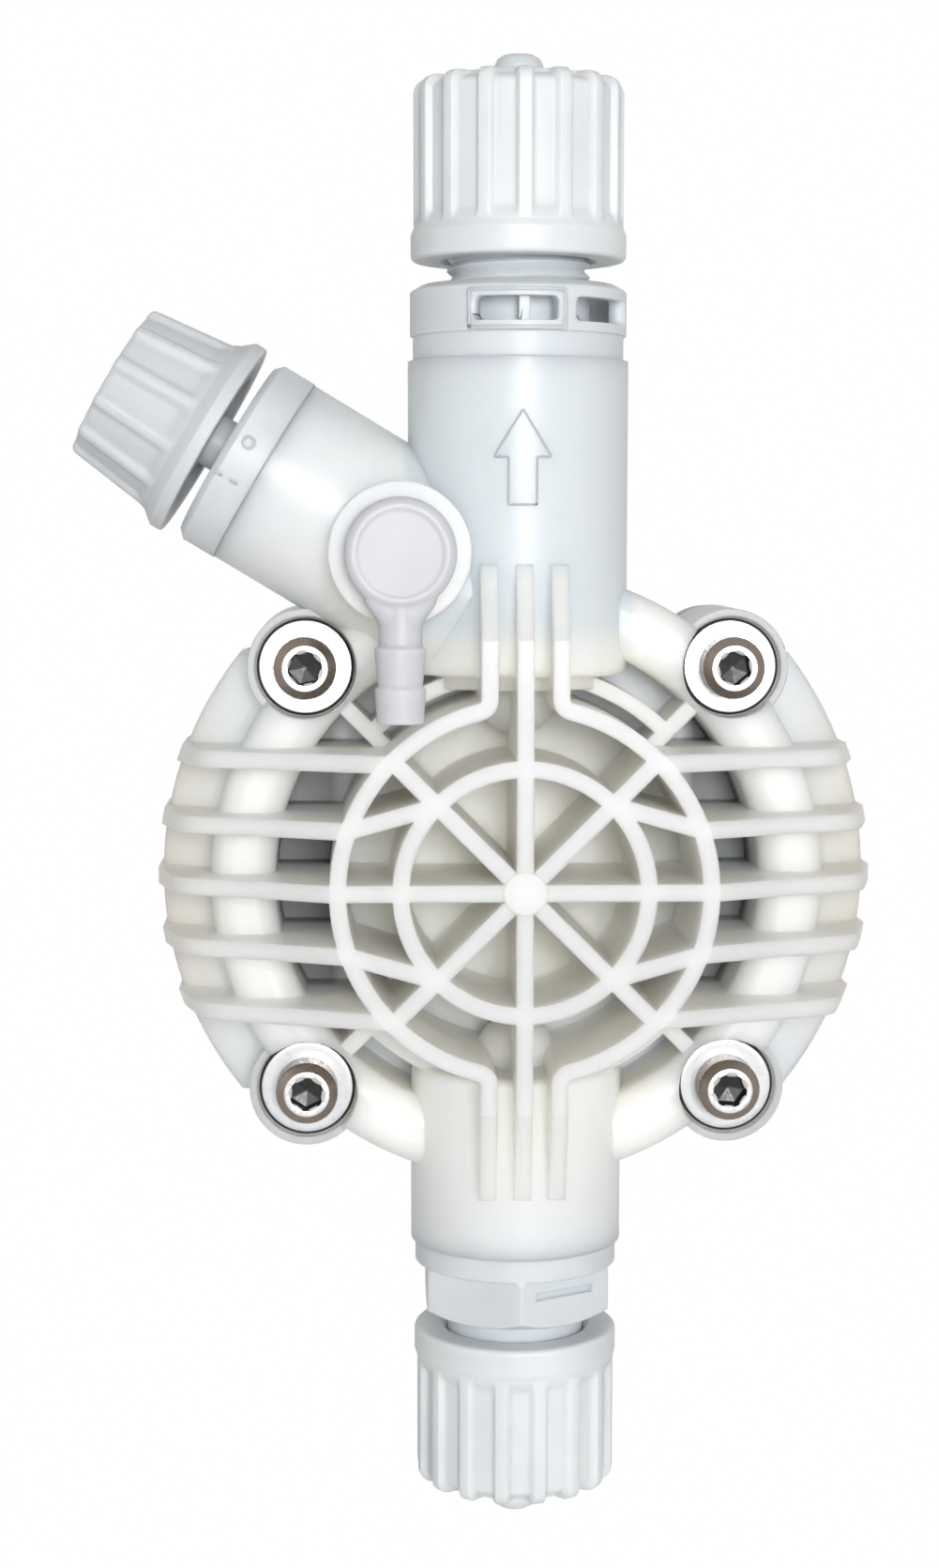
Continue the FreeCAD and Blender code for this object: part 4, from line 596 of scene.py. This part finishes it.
def socket_screw(x, z, twist):
    """
    One screw: chamfered end, thread, shank, head, and a socket turned by twist. Zone 1 is the head's
    side and shoulder, zone 2 the socket, both with painted shade, and zone 0 the rest.
    """
    frame_of = axis_frame((x, 0, z), (0, -1, 0), (1, 0, 0))
    cut_thread = thread(pitch=0.8, depth=0.42, low=-12.9, high=-0.6, crest=THREAD_RADIUS)

    def ripple(turn, radius, height):
        radius, height = cut_thread(turn, radius, height)
        flat = (turn - twist) % (math.pi / 3) - math.pi / 6
        inside = (radius <= SOCKET_HALF + 0.01) & (height > SEAT + 1)
        return np.where(inside, radius / np.cos(flat), radius), height
    shaft = outline_of([(0, TIP, 0), (1.85, TIP, 0.1), (THREAD_RADIUS, TIP + 0.6, 0),
                        (THREAD_RADIUS, 0, 0)], closed=False, step=0.11)
    head = outline_of([(SHANK_RADIUS, 0, 0), (SHANK_RADIUS, SEAT, 0), (HEAD_RADIUS, SEAT, 0.15),
                       (HEAD_RADIUS, HEAD_TOP - 0.8, 0.3), (RING_RADIUS, HEAD_TOP, 0.2),
                       (2.35, HEAD_TOP, 0), (SOCKET_HALF, HEAD_TOP - 0.25, 0),
                       (SOCKET_HALF, HEAD_TOP - 2.6, 0), (0, HEAD_TOP - 3, 0)], closed=False, step=0.5)
    outline = np.vstack([shaft, head])
    radius, height = outline[:-1].T
    zone = np.where((height < HEAD_TOP - 0.06) & (height > SEAT - 0.3), 1, 0)
    zone[(radius < SOCKET_HALF + 0.1) & (height > SEAT + 1)] = 2
    return turned(frame_of, outline, columns=60, ripple=ripple), False, zone


add_piece("socket_head_screws", [socket_screw(x, z, twist) for x, z, twist in SCREW_PLACES],
          [screw_steel, side_shade_steel, socket_shade_steel], "head", "stainless_steel", "head_screws")

# %% [markdown]
# The washers are wide, so that the screws don't dig into the soft plastic. Their rounded rims carry
# painted shade, darker than their ground faces. A Bevel modifier could round a plain disc, but the
# outline's own roundings do it, and its rows say where the rim's painted shade begins.


# %% Washers
WASHER_BACK, WASHER_HOLE, WASHER_RADIUS = 25.6, 2.7, 6.7


def washer(x, z):
    """One washer with rolled edges; its rim is zone 1, which carries painted shade."""
    outline = outline_of([(WASHER_HOLE, WASHER_BACK, 0.1), (WASHER_RADIUS, WASHER_BACK, 0.2),
                          (WASHER_RADIUS, SEAT, 0.4), (WASHER_HOLE, SEAT, 0.15)])
    rim = (outline[:, 0] > WASHER_RADIUS - 0.35).astype(int)
    return turned(axis_frame((x, 0, z), (0, -1, 0), (1, 0, 0)), outline, columns=120), True, rim


add_piece("plain_washers", [washer(x, z) for x, z, twist in SCREW_PLACES],
          [washer_steel, rim_shade_steel], "head", "stainless_steel", "head_washers")

# %% [markdown]
# Some forms are drawn flat and wrapped on a cylinder's wall: windows, webs, frames and marks. An
# outline is placed at several radii, and the rows make a block, or a raised line along the outline.
# The distance along the wall divided by its radius is the angle, so nothing is stretched.


# %% Helpers for outlines on a wall
def oblong(half, low, high, rounding):
    """An upright oblong with rounded corners: across from -half to half, and along from low to high."""
    return outline_of([(-half, low, rounding), (half, low, rounding), (half, high, rounding),
                       (-half, high, rounding)])


def on_wall(frame_of, outlines, middle, wall, radii):
    """
    Rows of an outline at several radii about an axis. The point (across, along) stands at the height
    along and the angle middle + across / wall, so across is measured on a wall of that radius.
    """
    origin, direction, side = frame_of
    rows = []
    for shape, radius in zip(outlines, radii):
        angle = middle + shape[:, 0] / wall
        spoke = np.cos(angle)[:, None] * side + np.sin(angle)[:, None] * np.cross(direction, side)
        rows.append(origin + shape[:, 1:2] * direction + radius * spoke)
    return np.array(rows)


def block(frame_of, outline, middle, wall, low, high):
    """A closed block with the outline's shape, from the radius low to the radius high."""
    centre = outline.mean(axis=0)
    shapes = [centre + (outline - centre) * share for share in (0, 1, 1, 0.75, 0.5, 0.25, 0)]
    return on_wall(frame_of, shapes, middle, wall, [low, low] + [high] * 5), False, 0


def band(frame_of, outline, middle, wall, rise, width, chamfer=0.08):
    """
    A raised line of a width w along an outline on a wall. The tangent at a point p is its next point
    less its last one, and the normal n is the tangent turned by 90 degrees, so the line's edges are
    p + n w / 2 and p - n w / 2. Its root lies 0.3 mm inside the wall.
    """
    tangent = np.roll(outline, -1, axis=0) - np.roll(outline, 1, axis=0)
    normal = np.stack([tangent[:, 1], -tangent[:, 0]], axis=1) / np.linalg.norm(tangent, axis=1)[:, None]
    out = width / 2
    shapes = [outline + normal * shift for shift in (out, out, out - chamfer, chamfer - out, -out, -out)]
    low, high = wall - 0.3, wall + rise
    radii = [low, high - chamfer, high, high, high - chamfer, low]
    return on_wall(frame_of, shapes, middle, wall, radii), True, 0


# %% [markdown]
# The discharge connector is a turned body with a threaded neck, and four spanner windows cut
# through its collar by a boolean, worked out in millimetres, where the solver's tolerance is small
# beside the part. A formula for the collar with its windows would be longer than the cut. A raised
# frame runs round the front window, and an upright web stands in the well at the front and the back.

# %% Discharge connector
NECK, COLLAR, WELL = 9.9, 14.9, 12.7
BORE, SPIGOT_WALL, FLANGE = 4, 10.35, 14.5
CONNECTOR_FOOT, FLANGE_FOOT, COLLAR_FOOT, WELL_FLOOR, COLLAR_END, NECK_END = 61, 71.2, 74.6, 75.7, 81.5, 100
WINDOWS = [math.radians(angle) for angle in (-4.2, 50.8, 175.8, 230.8)]
# Bore, spigot, flange, collar, the well between collar and neck, and the neck.
connector_outline = outline_of([
    (BORE, CONNECTOR_FOOT, 0), (SPIGOT_WALL, CONNECTOR_FOOT, 0.4), (SPIGOT_WALL, FLANGE_FOOT, 0),
    (FLANGE, FLANGE_FOOT, 0.2), (FLANGE, COLLAR_FOOT, 0.1), (COLLAR, COLLAR_FOOT, 0.2), (COLLAR, 80.6, 0.5),
    (13.3, COLLAR_END, 0.4), (WELL, COLLAR_END, 0.2), (WELL, WELL_FLOOR, 0.4), (NECK, WELL_FLOOR, 0),
    (NECK, 99.3, 0), (9.1, NECK_END, 0.2), (BORE, NECK_END, 0.2)], step=0.2)
neck_thread = thread(pitch=1.75, depth=0.95, low=79.6, high=99, crest=NECK)
neck_turned = turned(upward, connector_outline, columns=120, ripple=neck_thread)
connector = mesh_object("windowed_discharge_connector", [(neck_turned, True, 0)], [fitting_plastic], unit=1)
window = oblong(half=5.95, low=75.9, high=79.2, rounding=0.9)
cutter = mesh_object("window_cutter", [block(upward, window, middle, COLLAR, low=11.3, high=16)
                                       for middle in WINDOWS], unit=1)
cut = connector.modifiers.new("windows", "BOOLEAN")
cut.operation, cut.solver, cut.object = "DIFFERENCE", "MANIFOLD", cutter
apply_modifiers(connector)
bpy.data.objects.remove(cutter)
connector.data.transform(Matrix.Scale(MM, 4))
fit(connector, "head", "natural_plastic", "discharge_connector")

web = outline_of([(-0.7, 75.5, 0.2), (0.7, 75.5, 0.2), (0.7, 80.9, 0.3), (-0.7, 80.9, 0.3)])
window_edge = oblong(half=6.6, low=74.95, high=80.0, rounding=0.3)
add_piece("collar_webs_and_window_frame",
          [block(upward, web, middle, WELL, low=9.3, high=13.2) for middle in (0, math.pi)]
          + [band(upward, window_edge, WINDOWS[0], COLLAR, rise=0.18, width=0.5)],
          [fitting_plastic], "head", "natural_plastic")

# %% [markdown]
# The outline of a plain flow arrow is raised on the upper housing, and small marks stand on the gland
# ring of the bleed branch. A bump could draw them, but a raised line catches the light at its edges
# from any side, as the mould's own lines do.

# %% Raised marks
HOUSING, GLAND = 15.2, 13.75
SHAFT_HALF, BARB_HALF, ARROW_EDGE = 1.9, 3.9, 0.15
ARROW_FOOT, ARROW_BARB, ARROW_POINT = 51.6, 57.9, 64.2
RING_MARK, RING_MARK_HEIGHT = 0.75, 44
arrow = outline_of([(SHAFT_HALF, ARROW_FOOT, ARROW_EDGE), (SHAFT_HALF, ARROW_BARB, ARROW_EDGE),
                    (BARB_HALF, ARROW_BARB, ARROW_EDGE), (0, ARROW_POINT, ARROW_EDGE),
                    (-BARB_HALF, ARROW_BARB, ARROW_EDGE), (-SHAFT_HALF, ARROW_BARB, ARROW_EDGE),
                    (-SHAFT_HALF, ARROW_FOOT, ARROW_EDGE)])
arrow_line = band(upward, arrow, math.radians(-1), HOUSING, rise=0.06, width=0.3, chamfer=0.05)
add_piece("raised_flow_arrow", [arrow_line], [fitting_plastic], "head", "natural_plastic")
dash = oblong(half=0.2, low=-0.6, high=0.6, rounding=0.15)
turn = np.linspace(0, 2 * np.pi, 40, endpoint=False)
ring_mark = np.stack([RING_MARK * np.cos(turn), RING_MARK_HEIGHT + RING_MARK * np.sin(turn)], axis=1)
add_piece("gland_ring_mould_marks",
          [band(branch, ring_mark, math.radians(9), GLAND, rise=0.12, width=0.4)]
          + [block(branch, dash + (0, along), math.radians(-14), GLAND, GLAND - 0.3, GLAND + 0.15)
             for along in (43.1, 45.4)],
          [fitting_plastic], "head", "natural_plastic")

# %% [markdown]
# The hose elbow is a soft moulding whose cap, shoulder and barbed nozzle flow into one another. A
# boolean would join them with hard creases. Its three forms are made apart, joined by a 0.2 mm voxel
# remesh, and smoothed, which leaves the small fillets that a mould has.

# %% Hose elbow
ELBOW_X, ELBOW_Z, NOZZLE_DEPTH = -16.63, 45.19, 43.45
SPIGOT, STEM = 4.9, 2.85
# The cap has a spigot at its back and a shallow dish in front; the nozzle has two barbs and a bore.
cap = outline_of([(0, 34.1, 0), (SPIGOT, 34.1, 0.3), (SPIGOT, 40.3, 0), (7.4, 40.3, 0.3), (7.4, 46.6, 1.5),
                  (6.4, 46.6, 0.2), (6.1, 46.4, 0.2), (0, 46.4, 0)], closed=False)
barbs = outline_of([(0, 3, 0), (STEM, 3, 0), (STEM, 12.2, 0.2), (3.45, 12.5, 0.1), (2.95, 17.6, 0.3),
                    (3.4, 17.8, 0.1), (3.1, 22.4, 0.3), (1.8, 22.4, 0.2), (1.8, 11, 0), (0, 11, 0)],
                   closed=False)


def shoulder():
    """
    Sections across the elbow at drops d below the cap's middle: |x / w|^n + |y / h|^n = 1, with the
    half width w from 4.9 to 2.85 mm, h 2.8 mm and the power n from 5 to 2 as d goes from 5.6 to 10 mm.
    """
    drop = np.array([0, 0, 3, 5.6, 6.4, 7.2, 8.0, 8.8, 9.6, 10.4, 10.4])[:, None]
    share = smooth((drop - 5.6) / 4.4)
    half, power = SPIGOT + (STEM - SPIGOT) * share, 5 + (2 - 5) * share
    turn = np.linspace(0, 2 * np.pi, 64, endpoint=False)[None, :]
    size = (np.abs(np.cos(turn)) ** power + np.abs(np.sin(turn)) ** power) ** (-1 / power)
    size[[0, -1]] = 0
    x = ELBOW_X + half * size * np.cos(turn)
    y = -NOZZLE_DEPTH + 0.1 + 2.8 * size * np.sin(turn)
    return np.stack([x, y, ELBOW_Z - drop + 0 * x], axis=-1)[:, ::-1], False, 0


cap_frame = axis_frame((ELBOW_X, 0, ELBOW_Z), (0, -1, 0), (1, 0, 0))
nozzle_frame = axis_frame((ELBOW_X, -NOZZLE_DEPTH, ELBOW_Z), (0, 0, -1), (0, -1, 0))
elbow_forms = [(turned(cap_frame, cap, columns=120), False, 0), shoulder(),
               (turned(nozzle_frame, barbs, columns=96), False, 0)]
elbow = add_piece("moulded_hose_elbow", elbow_forms, [elbow_plastic], "hose_elbow", "natural_plastic",
                  "bleed_hose_elbow")
merge = elbow.modifiers.new("merge", "REMESH")
merge.mode, merge.voxel_size, merge.use_smooth_shade = "VOXEL", 0.2 * MM, True
soften = elbow.modifiers.new("soften", "SMOOTH")
soften.factor, soften.iterations = 0.5, 5
apply_modifiers(elbow)
print("elbow after the remesh", len(elbow.data.polygons), "faces")

# %% [markdown]
# The part hangs above plain white studio paper. Only rays that come straight from the camera, or by
# way of a mirror or glass, see the paper and the world as pure white. A brighter room would do that
# too, but would burn out the pale plastic, so for the light itself the world is dim.

# %% White paper and world
FLOOR_LEVEL, REACH = -0.16, 6.0


def direct_rays(material):
    """
    1 for rays from the camera, a mirror or glass, and 0 for rays that carry light. The world has a
    graph of nodes too, so it may stand in for the material.
    """
    path = add_node(material, "ShaderNodeLightPath")
    mirrored = combined(material, "MAXIMUM", (path, "Is Camera Ray"), (path, "Is Glossy Ray"))
    return combined(material, "MAXIMUM", mirrored, (path, "Is Transmission Ray"))


def white_paper(name):
    """White paper that renders pure white where the camera, a mirror or glass sees it."""
    material = new_material(name)
    seen = direct_rays(material)
    paint = add_node(material, "ShaderNodeBsdfDiffuse", {"Color": linear("#F4F4F4")})
    glow = add_node(material, "ShaderNodeEmission", {"Color": (1, 1, 1, 1), "Strength": 1.0})
    mix = add_node(material, "ShaderNodeMixShader", {"Fac": seen})
    material.node_tree.links.new(paint.outputs[0], mix.inputs[1])
    material.node_tree.links.new(glow.outputs[0], mix.inputs[2])
    add_node(material, "ShaderNodeOutputMaterial", {"Surface": (mix, "Shader")})
    return material


floor_mesh = bpy.data.meshes.new("studio_floor")
paper_corners = [(-REACH, -REACH), (REACH, -REACH), (REACH, REACH), (-REACH, REACH)]
floor_mesh.from_pydata([(x, y, FLOOR_LEVEL) for x, y in paper_corners], [], [(0, 1, 2, 3)])
floor = bpy.data.objects.new("studio_floor", floor_mesh)
floor.data.materials.append(white_paper("matt_white_studio_paper"))
bpy.context.scene.collection.objects.link(floor)

world = bpy.data.worlds.new("studio_white")
bpy.context.scene.world = world
world.use_nodes = True
world.node_tree.nodes.clear()
sky_level = add_node(world, "ShaderNodeMapRange", {"Value": direct_rays(world), "To Min": 0.3,
                                                   "To Max": 1.0})
sky = add_node(world, "ShaderNodeBackground", {"Color": (1, 1, 1, 1), "Strength": (sky_level, "Result")})
add_node(world, "ShaderNodeOutputWorld", {"Surface": (sky, "Background")})
print("paper at", FLOOR_LEVEL, "m")

# %% [markdown]
# The real part was lit by soft light from the front, with weak light from the left and from low on
# the right. A sun would give hard shadows between the ribs, so three rectangular lamps stand there.


# %% Lamps
def soft_lamp(name, spot, target, width, height, watts):
    """A rectangular lamp at a spot that faces a target."""
    lamp = bpy.data.objects.new(name, bpy.data.lights.new(name, "AREA"))
    lamp.data.shape = "RECTANGLE"
    lamp.data.size, lamp.data.size_y, lamp.data.energy = width, height, watts
    towards = np.array(target, float) - np.array(spot, float)
    towards /= np.linalg.norm(towards)
    side = np.cross(towards, (0.0, 0.0, 1.0))
    side /= np.linalg.norm(side)
    top = np.cross(side, towards)
    rows = np.column_stack([side, top, -towards, spot])
    lamp.matrix_world = Matrix([list(row) for row in rows] + [[0, 0, 0, 1]])
    bpy.context.scene.collection.objects.link(lamp)


soft_lamp("high_front_softbox", (0.09, -1.11, 0.16), (0, 0, 0), width=0.34, height=0.34, watts=8.3)
soft_lamp("left_softbox", (-0.8, -0.55, 0.25), (0, 0, 0.02), width=0.4, height=0.7, watts=0.4)
soft_lamp("right_low_softbox", (0.8, -0.6, -0.05), (0, 0, 0), width=0.4, height=0.6, watts=0.4)
print("lamps", [(light.name, light.energy) for light in bpy.data.lights])
